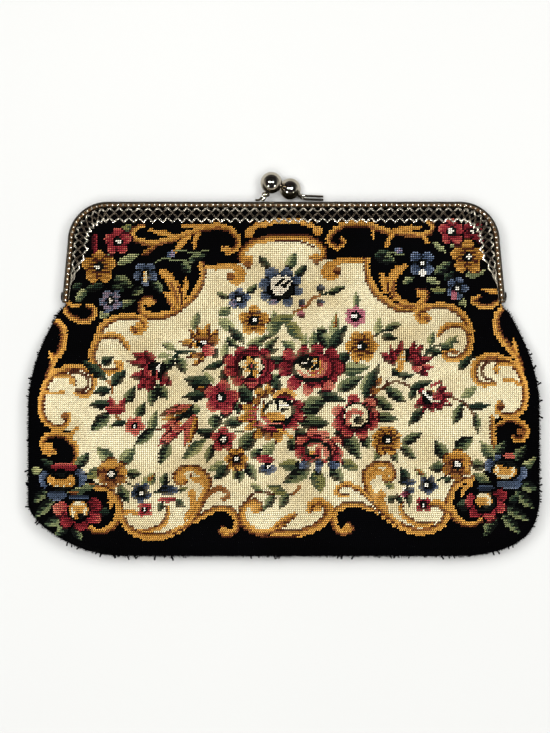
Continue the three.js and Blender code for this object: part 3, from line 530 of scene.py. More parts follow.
# Flowers built up petal by petal, from the back forward: a dye, then the column, row, half length, half width
# and lean of each petal that is worked in it
PETALS: tuple[tuple[Dye, tuple[Row, ...]], ...] = (
    # Blue rose under the dome
    (Dye.NAVY, ((-1.4, 139.6, 2.4, 2.4, 90),)),
    (Dye.BLUE, ((-6, 140.4, 4, 4, 120), (1.6, 141, 3.2, 3, 85), (5.8, 137.4, 3, 2.7, 10),
        (6.2, 132.2, 3.3, 2.4, 0), (2, 127, 2.9, 3, -80))),
    (Dye.LILAC, ((-5, 127.2, 3.2, 1.9, 200),)),
    (Dye.BLUE, ((-8.8, 130.4, 3.2, 2.8, 205), (-9, 135.4, 3.5, 3.4, 180))),
    (Dye.DARK, ((-1.8, 132.9, 6.6, 4.6, 0),)),
    (Dye.WHITE, ((-2.4, 134.6, 4.8, 3.9, 90), (0.8, 136.6, 2.8, 2.8, 90))),
    # Buds on the twig right of it
    (Dye.NAVY, ((18.2, 133.4, 2.2, 2, 60), (8.8, 126.4, 1.8, 1.6, 60))),
    (Dye.PLUM, ((9, 124.8, 1.4, 0.9, 0), (8.6, 120.4, 2, 2, 90))),
    (Dye.NAVY, ((18.2, 126.8, 2.2, 1.1, 0),)),
    (Dye.PLUM, ((18.2, 125.4, 1.7, 0.9, 0),)),
    # Lily, yellow to brown, and the pink bud in it
    (Dye.TAN, ((-40, 108.2, 2.6, 4.2, 90), (-35, 107, 3.4, 2.6, 40))),
    (Dye.YELLOW, ((-43, 105.4, 2.6, 1.6, 190),)),
    (Dye.DARK, ((-41.4, 105, 2.6, 1, -45),)),
    (Dye.WHITE, ((-39.4, 106.4, 1.8, 0.9, -20),)),
    (Dye.ROSE, ((-37.6, 102.4, 3.4, 2.8, 0),)),
    (Dye.TAN, ((-42.4, 100, 3.6, 1.2, 190),)),
    # Heart of the crimson lily on the left, and the tulip under it
    (Dye.CRIMSON, ((-65, 92.4, 4.8, 4.4, 180), (-59.8, 89, 3.4, 2.4, 270))),
    (Dye.DARK, ((-63.6, 93.6, 4.2, 2.8, 0),)),
    (Dye.ROSE, ((-66.4, 92, 0.9, 1.3, 0),)),
    (Dye.WHITE, ((-62.2, 93.8, 0.9, 2, 0),)),
    (Dye.ROSE, ((-62.8, 90, 0.8, 2.4, 0),)),
    (Dye.DARK, ((-61, 89.6, 1, 2.6, 0),)),
    (Dye.ROSE, ((-66.8, 90.4, 1.1, 1, 0),)),
    (Dye.RED, ((-83.2, 73, 2.4, 4.6, 90),)),
    # Heart of the orange lily
    (Dye.ROSE, ((-52, 64.6, 3.6, 2.4, 215),)),
    (Dye.CREAM, ((-50.8, 66.4, 1.4, 1.2, 0),)),
    (Dye.ROSE, ((-56.4, 59.6, 3.4, 1.8, 225),)),
    (Dye.BROWN, ((-54, 73, 5.4, 1, 195),)),
    (Dye.SAGE, ((-43.4, 73.4, 2.4, 1.8, 90),)),
    # Red rose, upper left of the middle
    (Dye.CRIMSON, ((-21, 101, 3.4, 3.4, 115), (-15.6, 101.4, 3.2, 3.2, 90), (-10.4, 99.6, 3.6, 3.4, 45),
        (-8, 94.2, 3.4, 3.6, 0), (-10, 89.2, 3.6, 3.4, -40))),
    (Dye.RED, ((-16, 87.4, 3.6, 3.4, 270), (-22.6, 88.6, 3.8, 3.4, 235), (-26, 92.8, 3.6, 3.4, 195),
        (-26, 97.2, 3.6, 3, 165))),
    (Dye.CRIMSON, ((-16.6, 94.6, 8.4, 7.2, 0),)),
    (Dye.DARK, ((-16.6, 94.2, 5.9, 5.0, 0),)),
    (Dye.CREAM, ((-20, 95.8, 2.3, 2, 160),)),
    (Dye.CUP, ((-17.4, 97.8, 2, 1.5, 100),)),
    (Dye.CREAM, ((-13.2, 97, 2.3, 1.5, 35), (-12, 93.8, 2.1, 1.7, -10))),
    (Dye.CUP, ((-13.8, 91, 2.2, 1.7, -55),)),
    (Dye.CREAM, ((-18.8, 91.4, 2.4, 2, 235),)),
    (Dye.DARK, ((-16.2, 94.6, 1.4, 1.8, 90),)),
    (Dye.RED, ((-16, 94.6, 0.8, 0.8, 0),)),
    # Great red rose right of the middle
    (Dye.RED, ((2.8, 99.8, 3.8, 3, 145),)),
    (Dye.CRIMSON, ((9.8, 100.8, 3.6, 3.2, 100), (16.6, 102, 3.4, 3.2, 88), (23.4, 99.6, 3.8, 3.6, 50),
        (25.8, 93.6, 3.8, 4.2, 0), (23, 89, 4, 3.4, -35), (1.2, 93, 4, 3.8, 185))),
    (Dye.RED, ((5, 86.4, 4, 3.4, 230),)),
    (Dye.ROSE, ((12, 83.8, 3.8, 2.8, 250), (20.6, 85.4, 5, 2.8, -15))),
    (Dye.RED, ((15.8, 86.4, 3.2, 2.6, -60),)),
    (Dye.CRIMSON, ((13.6, 93.6, 10.4, 7.8, 0),)),
    (Dye.CREAM, ((13.2, 93.8, 7.8, 5.4, 180),)),
    (Dye.DARK, ((10, 96.1, 3.0, 2.3, 0),)),
    (Dye.WHITE, ((10.1, 96.2, 1.4, 0.9, 0),)),
    # Yellow rose in the middle
    (Dye.YELLOW, ((-11, 80.8, 3.4, 2.4, 150), (-7, 82.6, 3.2, 1.8, 130))),
    (Dye.TAN, ((-12.4, 77, 2.8, 2.6, 160),)),
    (Dye.FLAME, ((-16.6, 73.4, 4.6, 2.2, 160), (-17.6, 69, 4.8, 2.4, 180), (-15, 65.4, 4.8, 2, 205))),
    (Dye.YELLOW, ((-11.6, 61.6, 3.6, 2.4, 240),)),
    (Dye.TAN, ((-7.4, 60.6, 3.2, 2.2, 255),)),
    (Dye.FLAME, ((-3, 60.6, 3.8, 2.4, 280),)),
    (Dye.CRIMSON, ((6.2, 75.4, 3.2, 2.4, 20),)),
    (Dye.RED, ((6.4, 70, 3.6, 2.4, -10), (3.6, 66.4, 4, 2.6, -40), (-4, 67, 8.6, 4.6, 180))),
    (Dye.CRIMSON, ((0, 79, 5.6, 2.4, 0),)),
    (Dye.DARK, ((-2.6, 73, 6.8, 5.4, 0),)),
    (Dye.PEARL, ((-3, 72.2, 4.9, 6.4, 90),)),
    (Dye.GOLD, ((-4.2, 69.8, 5, 2.3, -10),)),
    # Red rose right of the yellow one
    (Dye.RED, ((34.4, 77.2, 3.8, 3, 95),)),
    (Dye.ROSE, ((42.4, 75.4, 3.8, 3.2, 40), (27.4, 72, 3.8, 3.2, 165))),
    (Dye.RED, ((27.6, 66.4, 3.8, 3.2, 205), (31.6, 62.8, 3.6, 3, 240), (38.4, 62, 3.8, 3, 280),
        (43.4, 66.6, 3.6, 3.4, -20), (43.2, 71, 3.2, 3, 10))),
    (Dye.CRIMSON, ((36, 69.6, 7.8, 7.4, 90),)),
    (Dye.DARK, ((36, 69.6, 6.4, 6.2, 90),)),
    (Dye.PEARL, ((35.8, 69.8, 5.3, 5.1, 90),)),
    (Dye.DARK, ((37, 67.8, 2.3, 2.3, 0),)),
    # Hearts of the crimson lilies on the right
    (Dye.CRIMSON, ((57.4, 103, 4.2, 1.5, 70),)),
    (Dye.CUP, ((58.2, 96.6, 4, 1.7, 75),)),
    (Dye.GOLD, ((57.4, 93.2, 1.6, 1.8, 270),)),
    (Dye.DARK, ((61.4, 99.8, 1.3, 3.9, 0),)),
    (Dye.CRIMSON, ((64.6, 97.8, 3, 2.4, 45),)),
    (Dye.ROSE, ((66, 93.4, 2.6, 1.4, 0),)),
    (Dye.CRIMSON, ((73.6, 79.2, 4.8, 4, 0),)),
    (Dye.DARK, ((70.8, 78.6, 2.8, 2.6, 0),)),
    (Dye.CREAM, ((74.4, 82.6, 0.8, 1.2, 0),)),
    (Dye.ROSE, ((74.6, 79.4, 1.2, 0.8, 0),)),
    # Red rose over the base
    (Dye.ROSE, ((14.8, 60.4, 3.8, 3.2, 100), (19.6, 59.4, 3.6, 3, 70), (9.4, 56.8, 3.6, 3, 155))),
    (Dye.RED, ((8.4, 52, 3.4, 3, 190),)),
    (Dye.ROSE, ((25, 56.6, 3.8, 3, 20),)),
    (Dye.RED, ((26, 51.6, 3.4, 3, -15), (11, 48.8, 3.4, 2.4, 230), (25.4, 48.8, 3.4, 2.4, -30),
        (17, 48.6, 5.4, 2.2, 0), (17, 53.8, 8.2, 6, 0))),
    (Dye.ROSE, ((17, 53.2, 6, 4.4, 0),)),
    (Dye.CREAM, ((13.6, 53, 2.2, 2, 90),)),
    (Dye.BLUE, ((10.2, 45.6, 3.2, 1.9, 180), (17.2, 45.4, 3.4, 1.9, 270), (24.2, 45.6, 3.2, 1.8, 0))),
    # Small blooms of two colours
    (Dye.RED, ((-9.2, 48.4, 4.6, 2, 180),)),
    (Dye.BLUE, ((-8.2, 43.6, 4.8, 2.5, 0),)),
    (Dye.DARK, ((-8, 45, 2, 1.5, 0),)),
    (Dye.WHITE, ((-7.8, 45, 1, 1, 0),)),
    (Dye.NAVY, ((-57.2, 33.2, 4.8, 2.5, 0),)),
    (Dye.RED, ((-57.6, 28.6, 4.6, 1.4, 180),)),
    (Dye.NAVY, ((61, 37, 4.2, 1.8, 0), (61.6, 33, 3.4, 1.8, 0))),
    (Dye.PLUM, ((60, 31.2, 2.6, 1.2, 180),)),
    (Dye.WHITE, ((59.4, 34, 1, 0.9, 0),)),
    # Corner roses on the left, blue above red
    (Dye.BLUE, ((-118.8, 38.6, 2.6, 4.4, 180), (-101.2, 39.4, 3.4, 4.2, 0), (-112.4, 30.8, 2.8, 4.8, 270),
        (-101.6, 29.6, 1.6, 5.4, 270))),
    (Dye.TAN, ((-104, 32, 1.2, 2.4, 90),)),
    (Dye.RED, ((-108.8, 44.6, 2.2, 6.4, 90),)),
    (Dye.DARK, ((-110.7, 37.8, 8, 4.8, 0),)),
    (Dye.CUP, ((-110.7, 38.4, 3.4, 6.8, 270),)),
    (Dye.DARK, ((-111.6, 40.6, 3.6, 1.3, 0),)),
    (Dye.GOLD, ((-110.6, 36.4, 4.6, 1.2, 0),)),
    (Dye.ROSE, ((-110.2, 23.8, 4.2, 3.6, 180),)),
    (Dye.CRIMSON, ((-107, 18.4, 4, 3.4, 230), (-100.2, 17, 4, 3.4, 270))),
    (Dye.RED, ((-94.4, 19.6, 4, 3.2, -20),)),
    (Dye.CRIMSON, ((-93.8, 26, 3.4, 3.8, 20),)),
    (Dye.DARK, ((-101.6, 22.6, 5.6, 5, 90),)),
    (Dye.CUP, ((-101.8, 23.2, 4.2, 4.2, 90),)),
    (Dye.CREAM, ((-98.8, 22.4, 0.9, 2.8, -15), (-104.8, 22.2, 1.1, 2.4, 10))),
    (Dye.DARK, ((-100.6, 20.6, 1.8, 1.6, 0),)),
    # Corner roses on the right
    (Dye.BLUE, ((102, 45.6, 2.8, 3.6, 180), (106, 49, 2.2, 1.6, 120))),
    (Dye.ROSE, ((111.6, 50, 2, 2.8, 90),)),
    (Dye.BLUE, ((117.4, 41.6, 3.4, 3.6, -10), (111.6, 36.2, 2.8, 6.4, 270))),
    (Dye.DARK, ((109.4, 43, 6.8, 5, 0),)),
    (Dye.CUP, ((109.2, 42.6, 3.6, 5.4, 270),)),
    (Dye.DARK, ((110.8, 45.6, 1.9, 1.5, 0),)),
    (Dye.CREAM, ((105.2, 43.4, 1.1, 2.4, 0), (113.2, 43, 1.1, 2, 0))),
    (Dye.BLUE, ((99.8, 34.4, 1.6, 4.4, 90),)),
    (Dye.RED, ((92.8, 27.8, 3, 3.6, 180),)),
    (Dye.CRIMSON, ((106.6, 30, 4.2, 3.4, 20),)),
    (Dye.RED, ((106.4, 25, 3.4, 3.2, -30), (101.4, 21.8, 4, 3.2, 280))),
    (Dye.CRIMSON, ((95.2, 22.8, 3.8, 3, 220),)),
    (Dye.DARK, ((99.2, 27.2, 5.6, 4.9, 0),)),
    (Dye.CUP, ((98.6, 28, 3.6, 3.8, 90),)),
    (Dye.CREAM, ((101.4, 27.6, 0.9, 2.4, 0),)),
    (Dye.DARK, ((99.8, 24.6, 2.4, 1.3, 0),)),
    # Edges and spots of the flat flowers
    (Dye.GOLD, ((-85.8, 45.8, 1.8, 5, 90), (-79.4, 42.4, 2.2, 1.8, 0), (86, 50.6, 1.9, 5.2, 90),
        (90.4, 46, 1.6, 3.6, 0))),
    (Dye.CREAM, ((-69.4, 139.6, 1.3, 3, 0),)),
    (Dye.WHITE, ((69.3, 141.4, 2, 1.7, 0),)),
    (Dye.PINK, ((85.2, 130.4, 2.4, 1.6, 270),)),
    (Dye.LILAC, ((-56.2, 151, 2.2, 1.8, 20), (57.8, 153, 2.2, 1.7, 160))),
    (Dye.CRIMSON, ((-94.8, 156.6, 1.8, 5, 0), (98.8, 158.4, 2.4, 1.8, 60))),
    (Dye.TAN, ((47, 86.6, 2.5, 1.2, 65), (45, 82, 2.6, 1.8, 20))),
    (Dye.LILAC, ((-25.2, 126.2, 2.2, 1.6, 200),)),
    (Dye.BROWN, ((85, 101.8, 2, 1.1, 0),)),
)

# Fine lines worked over the roses: wool, width, then the path
STROKES: tuple[tuple[Wool, float, Path], ...] = (
    # Blue rose
    (Wool.INK, 1.3, ((-4, 135.4), (-2.4, 136), (-1.6, 137.4), (-0.2, 138.4))),
    (Wool.INK, 1.3, ((-0.8, 135), (0.8, 134.8), (1.4, 136), (2.6, 137.4))),
    # Great red rose
    (Wool.INK, 1.6, ((5.2, 92.6), (6.4, 89.8), (9, 88.1), (13, 87.1), (17, 87.4), (21, 89))),
    (Wool.CORAL, 1.5, ((7.4, 92), (10.2, 89.9), (14.6, 89.2), (18.4, 90.5), (20.5, 93.4), (20.6, 96.4))),
    (Wool.SALMON, 1.1, ((10.8, 93), (13.4, 91.4), (16.6, 91.9), (18.7, 94), (18.9, 97))),
    (Wool.INK, 1.5, ((6.8, 96), (8, 98.6), (11.4, 99.4), (14.4, 98.6))),
    (Wool.INK, 1.5, ((12.8, 97.4), (13.4, 95.2), (11.6, 93.8), (8.8, 94.2))),
    (Wool.INK, 1.5, ((16.6, 99), (17, 97), (16.4, 94.6), (14.6, 93.2))),
    # Yellow rose
    (Wool.GOLD, 2.2, ((-4.6, 79.8), (-2.4, 81.6), (0.6, 82.6), (3, 81.8), (5, 79.8))),
    (Wool.UMBER, 1.1, ((-1.6, 80.6), (1.6, 80.6), (3.4, 79.4))),
    (Wool.HONEY, 1.6, ((-10.2, 75), (-10.4, 70))),
    (Wool.SALMON, 1.0, ((-18, 68.2), (-13.6, 68))),
    (Wool.SALMON, 1.0, ((-17, 72.4), (-14, 71.8))),
    (Wool.SALMON, 1.0, ((-15.6, 65.6), (-10.4, 65))),
    (Wool.CREAM, 1.5, ((-10.6, 78.4), (-11.4, 75), (-12.6, 71.6), (-12, 68.6), (-9.6, 66))),
    (Wool.INK, 1.6, ((1.4, 77.6), (3.6, 75.4), (4.4, 72), (3, 68.4), (0.6, 65.8))),
    (Wool.INK, 1.4, ((-7, 65), (-1.2, 64.8))),
    (Wool.CORAL, 1.0, ((-7.4, 66.6), (-2, 66.4))),
    (Wool.INK, 1.6, ((-9.6, 72.8), (-8.4, 75), (-6.4, 76.8))),
    (Wool.INK, 1.3, ((-3.4, 77), (-3.2, 73.4))),
    (Wool.INK, 1.6, ((-0.8, 72.8), (1.4, 73.2))),
    (Wool.WHITE, 1.5, ((-2, 75.2), (1.6, 75))),
    (Wool.GOLD, 1.6, ((-2.8, 63.2), (0.8, 61.6), (3.8, 59.4))),
    # Red rose right of the yellow one
    (Wool.SALMON, 2.2, ((31.8, 66), (31.4, 69.4), (33, 71.8), (35.8, 72.2), (38.4, 71.2))),
    (Wool.CORAL, 1.0, ((32.6, 66.4), (32.4, 69), (33.8, 70.8), (36, 71))),
    # Red rose over the base
    (Wool.INK, 1.8, ((10.6, 55.8), (13.6, 57.6), (17.6, 57.4), (21, 55.2), (23, 52), (22.6, 48.8))),
    (Wool.INK, 1.5, ((11.2, 53.6), (11.8, 51), (14.4, 49.8), (16.8, 50.2))),
    (Wool.CREAM, 1.2, ((15.4, 55.4), (17.6, 55.2))),
    (Wool.CORAL, 2.2, ((18, 54.8), (20.8, 53), (21, 50))),
    (Wool.CREAM, 1.2, ((18.6, 53.2), (19, 50.4), (19.6, 49.2))),
    (Wool.CRIMSON, 1.2, ((17, 53.2), (17.2, 51.2))),
    (Wool.CORAL, 1.6, ((17.4, 61.8), (19.2, 60.4), (20.6, 57.6))),
    (Wool.CREAM, 1.1, ((26.4, 56.4), (27.6, 55.2))),
    # Lilies on the right and the left
    (Wool.WHITE, 1.7, ((68.8, 81.6), (70.6, 80.2), (72.4, 78.8))),
    (Wool.CREAM, 1.0, ((71.6, 83), (75.4, 84.4), (77.6, 85.6))),
    (Wool.CREAM, 0.9, ((73.4, 77.2), (77, 76.8), (81, 76.6))),
    (Wool.SALMON, 1.5, ((-57.4, 71.8), (-52.6, 73.4), (-49, 74.6))),
    (Wool.INK, 1.4, ((-53, 68), (-49.4, 69.4), (-46.8, 72.2), (-45, 74.8))),
    (Wool.CORAL, 1.1, ((-58, 66.4), (-54.4, 64.8))),
    (Wool.CORAL, 1.1, ((-60, 58.4), (-56.4, 61.4))),
    # Ribs of the acanthus on both shoulders
    (Wool.BROWN, 1.2, ((-56.6, 136.4), (-54, 131.6), (-53, 127))),
    (Wool.UMBER, 1.0, ((-52.6, 134.6), (-51, 129.6), (-51.4, 125.4))),
    (Wool.BROWN, 1.1, ((-58, 127.4), (-56, 125.4), (-54.8, 122.8))),
    (Wool.BROWN, 1.2, ((55.4, 137.4), (54.4, 133.6), (55.6, 129.4))),
    (Wool.UMBER, 1.0, ((52, 136.6), (52.2, 132.4), (54.4, 128.6))),
    (Wool.BROWN, 1.2, ((56.4, 126), (60, 124.4), (64.6, 124.4))),
)

# How a scroll is worked: half its charted width, its taper, and where gold, honey and brown start across it
SCROLL_HALF = 0.44
SCROLL_TIP = 0.55
SCROLL_SWELL = 0.45
SCROLL_SWELL_POWER = 0.6
SCROLL_END = 0.04
SCROLL_GOLD_TO = 0.6
SCROLL_HONEY_FROM = 0.05
SCROLL_BROWN_FROM = 0.5

# How a leaf is worked: its half width, how far it runs past both ends, and where it turns light and dark
LEAF_HALF = 0.56
LEAF_BELLY = 0.8
LEAF_PAST_BASE = 0.07
LEAF_STRETCH = 1.16
LEAF_LIGHT_FROM = 0.1
LEAF_ALL_LIGHT_FROM = 0.4
LEAF_ALL_DARK_TO = -0.5

# How a petal is worked along its length, from its heart at -1 to its tip at 1, and the line round a big one
PETAL_DARK_TO = -0.1
PETAL_ALL_DARK_TO = -0.6
PETAL_LIGHT_FROM = 0.3
PETAL_ALL_LIGHT_FROM = 0.72
PETAL_LINE = 0.75
PETAL_LINED_OVER = 2.5

# How a flat flower is worked: its petals as shares of its radius, then its eye and the dot in it
BLOOM_RING = 0.56
BLOOM_LONG = 0.48
BLOOM_WIDE = 0.42
EYE_SHARE = 1.1
EYE_MOST = 2.5
DOT_SHARE = 0.45
EYE_MORE = 0.3

# How far the edges of every second row reach past those of the rows between
TOOTH = 0.2


@dataclass
class Chart:
    """The stitches to be worked, and the wool that each one gets.

    Attributes:
        col: Column of each stitch, in stitches from the middle of the bag.
        row: Row of each stitch, in stitches above the base edge.
        line: Number of the row that each stitch is worked in.
    """

    col: np.ndarray
    row: np.ndarray
    line: np.ndarray

    def __post_init__(self) -> None:
        """Lay in the black ground."""
        self.wools = list(Wool)
        self.shade = np.full(self.col.shape, self.wools.index(Wool.BLACK))
        self.even = self.line % 2 == 0
        self.tooth = np.where(self.even, TOOTH, -TOOTH)

    def has(self, shade: np.ndarray, *wools: Wool) -> np.ndarray:
        """Tell which stitches are worked in one of these wools."""
        return np.isin(shade, [self.wools.index(wool) for wool in wools])

    def lay(self, mask: np.ndarray, wool: Wool, between: Wool | None = None) -> None:
        """Work the masked stitches.

        Args:
            mask: The stitches.
            wool: Their wool.
            between: A second wool for every other row, or nothing.
        """
        self.shade[mask] = self.wools.index(wool)
        if between is not None:
            self.shade[mask & self.even] = self.wools.index(between)

    def fill(self, outline: Path, wool: Wool) -> None:
        """Work everything inside a closed outline.

        Args:
            outline: Corners of the outline, in order.
            wool: The wool to fill it with.
        """
        inside = np.zeros(self.col.shape, dtype=bool)
        for (c0, r0), (c1, r1) in zip(outline, outline[1:] + outline[:1]):
            if r0 == r1:
                continue
            spans = (r0 > self.row) != (r1 > self.row)
            inside ^= spans & (self.col < c0 + (self.row - r0) * (c1 - c0) / (r1 - r0))
        self.lay(inside, wool)

    def along(self, path: Path) -> tuple[np.ndarray, np.ndarray, np.ndarray]:
        """Measure every stitch against a smooth path.

        Args:
            path: Points that the path runs through.

        Returns:
            The share of the path's length, the distance to the left of it, and the distance from it.
        """
        points = smooth_path(np.array(path, dtype=float), 8)
        share = np.zeros(self.col.shape)
        nearest = np.full(self.col.shape, np.inf)
        side = np.zeros(self.col.shape)
        steps = len(points) - 1
        for k in range(steps):
            start, run = points[k], points[k + 1] - points[k]
            length = math.hypot(*run)
            dc, dr = self.col - start[0], self.row - start[1]
            t = np.clip((dc * run[0] + dr * run[1]) / length**2, 0, 1)
            away = np.hypot(dc - t * run[0], dr - t * run[1])
            closer = away < nearest
            nearest[closer] = away[closer]
            share[closer] = ((k + t) / steps)[closer]
            side[closer] = np.sign(run[0] * dr - run[1] * dc)[closer]
        return share, side * nearest, nearest

    def scroll(self, scroll: Scroll) -> None:
        """Work one gilt scroll: gold on its light side, brown lines on the other, toothed along its edges.

        Args:
            scroll: The scroll.
        """
        share, across, away = self.along(scroll.path)
        middle = np.sin(np.pi * np.clip(share, SCROLL_END, 1 - SCROLL_END))
        taper = SCROLL_TIP + SCROLL_SWELL * middle**SCROLL_SWELL_POWER
        half = SCROLL_HALF * scroll.width * taper
        place = across * scroll.shade / half
        body = away <= half + self.tooth
        self.lay(body, Wool.OCHRE)
        self.lay(body & (away < SCROLL_GOLD_TO * half), Wool.GOLD)
        if scroll.shade:
            self.lay(body & (place < 0), Wool.GOLD)
            self.lay(body & (place >= SCROLL_HONEY_FROM), Wool.HONEY, Wool.BROWN)
            self.lay(body & (place >= SCROLL_BROWN_FROM), Wool.BROWN, Wool.UMBER)

    def stem(self, width: float, path: Path, wool: Wool) -> None:
        """Work a thin stem of one wool."""
        self.lay(self.along(path)[2] <= 0.5 * width, wool)

    def leaf(self, base: Point, tip: Point, width: float, dye: Dye) -> None:
        """Work a pointed leaf, light on one side of its rib and dark on the other.

        Args:
            base: Where its stalk joins.
            tip: Its point.
            width: Its greatest width; below zero, the light half lies under the rib.
            dye: Its wools.
        """
        light, body, dark = dye.value
        run = np.array(tip) - np.array(base)
        length = math.hypot(*run)
        dc, dr = self.col - base[0], self.row - base[1]
        t = ((dc * run[0] + dr * run[1]) / length**2 + LEAF_PAST_BASE) / LEAF_STRETCH
        across = (run[0] * dr - run[1] * dc) / length
        lit = across / width * (2 if run[0] >= 0 else -2)
        half = LEAF_HALF * abs(width) * np.sin(np.pi * np.clip(t, 0, 1) ** LEAF_BELLY)
        inside = (t > 0) & (t < 1) & (np.abs(across) <= half + 0.6 * self.tooth)
        self.lay(inside, body, dark)
        self.lay(inside & (lit > LEAF_LIGHT_FROM), light, body)
        self.lay(inside & (lit > LEAF_ALL_LIGHT_FROM), light)
        self.lay(inside & (lit < LEAF_ALL_DARK_TO), dark)

    def petal(self, petal: Petal) -> None:
        """Work one petal, dark at its heart and light at its tip, with a line round it over other motifs.

        Args:
            petal: The petal.
        """
        light, body, dark = petal.dye.value
        lean = math.radians(petal.lean)
        dc, dr = self.col - petal.col, self.row - petal.row
        u = (dc * math.cos(lean) + dr * math.sin(lean)) / petal.long
        v = (dr * math.cos(lean) - dc * math.sin(lean)) / petal.wide
        away = np.hypot(u, v)
        inside = away <= 1
        if petal.long > PETAL_LINED_OVER:
            worked = ~self.has(self.shade, Wool.CREAM, Wool.BLACK)
            around = (away <= 1 + PETAL_LINE / petal.wide) & (u > PETAL_ALL_DARK_TO)
            self.lay(worked & around, EDGES.get(dark, dark))
        self.lay(inside, body)
        self.lay(inside & (u < PETAL_DARK_TO), dark, body)
        self.lay(inside & (u < PETAL_ALL_DARK_TO), dark)
        self.lay(inside & (u > PETAL_LIGHT_FROM), light, body)
        self.lay(inside & (u > PETAL_ALL_LIGHT_FROM), light)

    def bloom(self, bloom: Bloom) -> None:
        """Work a flat flower: its petals in a ring, then its eye.

        Args:
            bloom: The flower.
        """
        ring, long, wide = (share * bloom.radius for share in (BLOOM_RING, BLOOM_LONG, BLOOM_WIDE))
        for k in range(bloom.petals):
            lean = bloom.turn + 360 * k / bloom.petals
            col = bloom.col + ring * math.cos(math.radians(lean))
            row = bloom.row + ring * math.sin(math.radians(lean))
            self.petal(Petal(col, row, long, wide, lean, bloom.dye))
        dot = DOT_SHARE * bloom.eye + EYE_MORE
        eye = min(EYE_MOST, EYE_SHARE * bloom.eye + EYE_MORE)
        self.petal(Petal(bloom.col, bloom.row, eye, eye, 0, Dye.DARK))
        self.petal(Petal(bloom.col + bloom.dot_col, bloom.row + bloom.dot_row, dot, dot, 0, Dye.WHITE))

    def work(self) -> tuple[np.ndarray, np.ndarray]:
        """Work the whole chart, from the ground up.

        Returns:
            The number of each stitch's wool, and its colour in linear light.
        """
        self.fill(CREAM_PANEL, Wool.CREAM)
        for scroll in SCROLLS:
            self.scroll(scroll)
        for dye, spots in BALLS.items():
            for col, row, radius in spots:
                self.petal(Petal(col, row, radius, radius, 90, dye))
        for width, path in CREASES:
            self.stem(width, path, Wool.UMBER)
        for wool, stems in STEMS.items():
            for width, path in stems:
                self.stem(width, path, wool)
        for dye, leaves in LEAVES.items():
            for base_col, base_row, tip_col, tip_row, width in leaves:
                self.leaf((base_col, base_row), (tip_col, tip_row), width, dye)
        for bloom in BLOOMS:
            self.bloom(bloom)
        for dye, petals in PETALS:
            for petal in petals:
                self.petal(Petal(*petal, dye))
        for wool, width, path in STROKES:
            self.stem(width, path, wool)
        palette = np.array([linear(wool.value) for wool in self.wools])
        return self.shade, palette[self.shade]


def smooth_path(points: np.ndarray, steps: int) -> np.ndarray:
    """Run a smooth curve through points.

    Args:
        points: One row for each point.
        steps: Steps between one point and the next.

    Returns:
        The points of the curve.
    """
    padded = np.vstack([2 * points[0] - points[1], points, 2 * points[-1] - points[-2]])
    t = np.arange(steps)[:, None] / steps
    runs = []
    for a, b, c, d in zip(padded, padded[1:], padded[2:], padded[3:]):
        curve = 2 * b + (c - a) * t + (2 * a - 5 * b + 4 * c - d) * t**2 + (3 * b - a - 3 * c + d) * t**3
        runs.append(0.5 * curve)
    return np.vstack(runs + [points[-1:]])


class Sketch:
    """Puts nodes into a tree and joins them up."""

    def __init__(self, tree: Tree) -> None:
        """Start on a tree."""
        self.tree = tree

    def node(self, kind: str, values: dict[str | int, object] | None = None,
             **settings: object) -> bpy.types.Node:
        """Add one node.

        Args:
            kind: The node's type.
            values: For each input, a value or the output socket that feeds it.
            settings: Properties of the node itself.

        Returns:
            The new node.
        """
        node = self.tree.nodes.new(kind)
        for name, value in settings.items():
            setattr(node, name, value)
        for key, value in (values or {}).items():
            if isinstance(value, bpy.types.NodeSocket):
                self.tree.links.new(value, node.inputs[key])
            else:
                node.inputs[key].default_value = value
        return node

    def maths(self, operation: str, *values: object) -> bpy.types.NodeSocket:
        """Add a Math node and give its result."""
        node = self.node("ShaderNodeMath", dict(enumerate(values)), operation=operation)
        return node.outputs[0]

    def blend(self, share: object, a: object, b: object, how: str = "MIX") -> bpy.types.NodeSocket:
        """Add a colour mix and give its result.

        Args:
            share: Value or socket for the share of b.
            a: First colour.
            b: Second colour.
            how: Blending mode.

        Returns:
            The mixed colour's socket.
        """
        node = self.node("ShaderNodeMix", {0: share, 6: a, 7: b}, data_type="RGBA", blend_type=how)
        return node.outputs[2]

    def ramp(self, value: object, low: float, high: float) -> bpy.types.NodeSocket:
        """Ease a value from 0 to 1.

        Args:
            value: The value or its socket.
            low: Where it starts to rise.
            high: Where it reaches 1.

        Returns:
            The eased value's socket.
        """
        node = self.node("ShaderNodeMapRange", {"Value": value, "From Min": low, "From Max": high},
                         interpolation_type="SMOOTHSTEP")
        return node.outputs[0]

    def vector(self, name: str) -> bpy.types.NodeSocket:
        """Read a vector that is stored on each point."""
        node = self.node("GeometryNodeInputNamedAttribute", {"Name": name}, data_type="FLOAT_VECTOR")
        return node.outputs["Attribute"]

    def close(self, made: bpy.types.NodeSocket, finish: bpy.types.NodeSocket, gives: str) -> None:
        """End a Geometry Nodes tree.

        Args:
            made: What the tree has made.
            finish: The material for it.
            gives: Name of the tree's output.
        """
        whole = self.node("GeometryNodeRealizeInstances", {"Geometry": made})
        done = self.node("GeometryNodeSetMaterial", {"Geometry": whole.outputs[0], "Material": finish})
        self.node("NodeGroupOutput", {gives: done.outputs[0]})

    def noise(self, vector: object, scale: float, detail: float = 3.0) -> bpy.types.NodeSocket:
        """Add a noise texture and give its value."""
        node = self.node("ShaderNodeTexNoise", {"Vector": vector, "Scale": scale, "Detail": detail})
        return node.outputs["Fac"]


class Role(Enum):
    """Kinds of sockets that a group's interface has."""

    SHAPE = "NodeSocketGeometry"
    NUMBER = "NodeSocketFloat"
    COUNT = "NodeSocketInt"
    THING = "NodeSocketObject"
    FINISH = "NodeSocketMaterial"


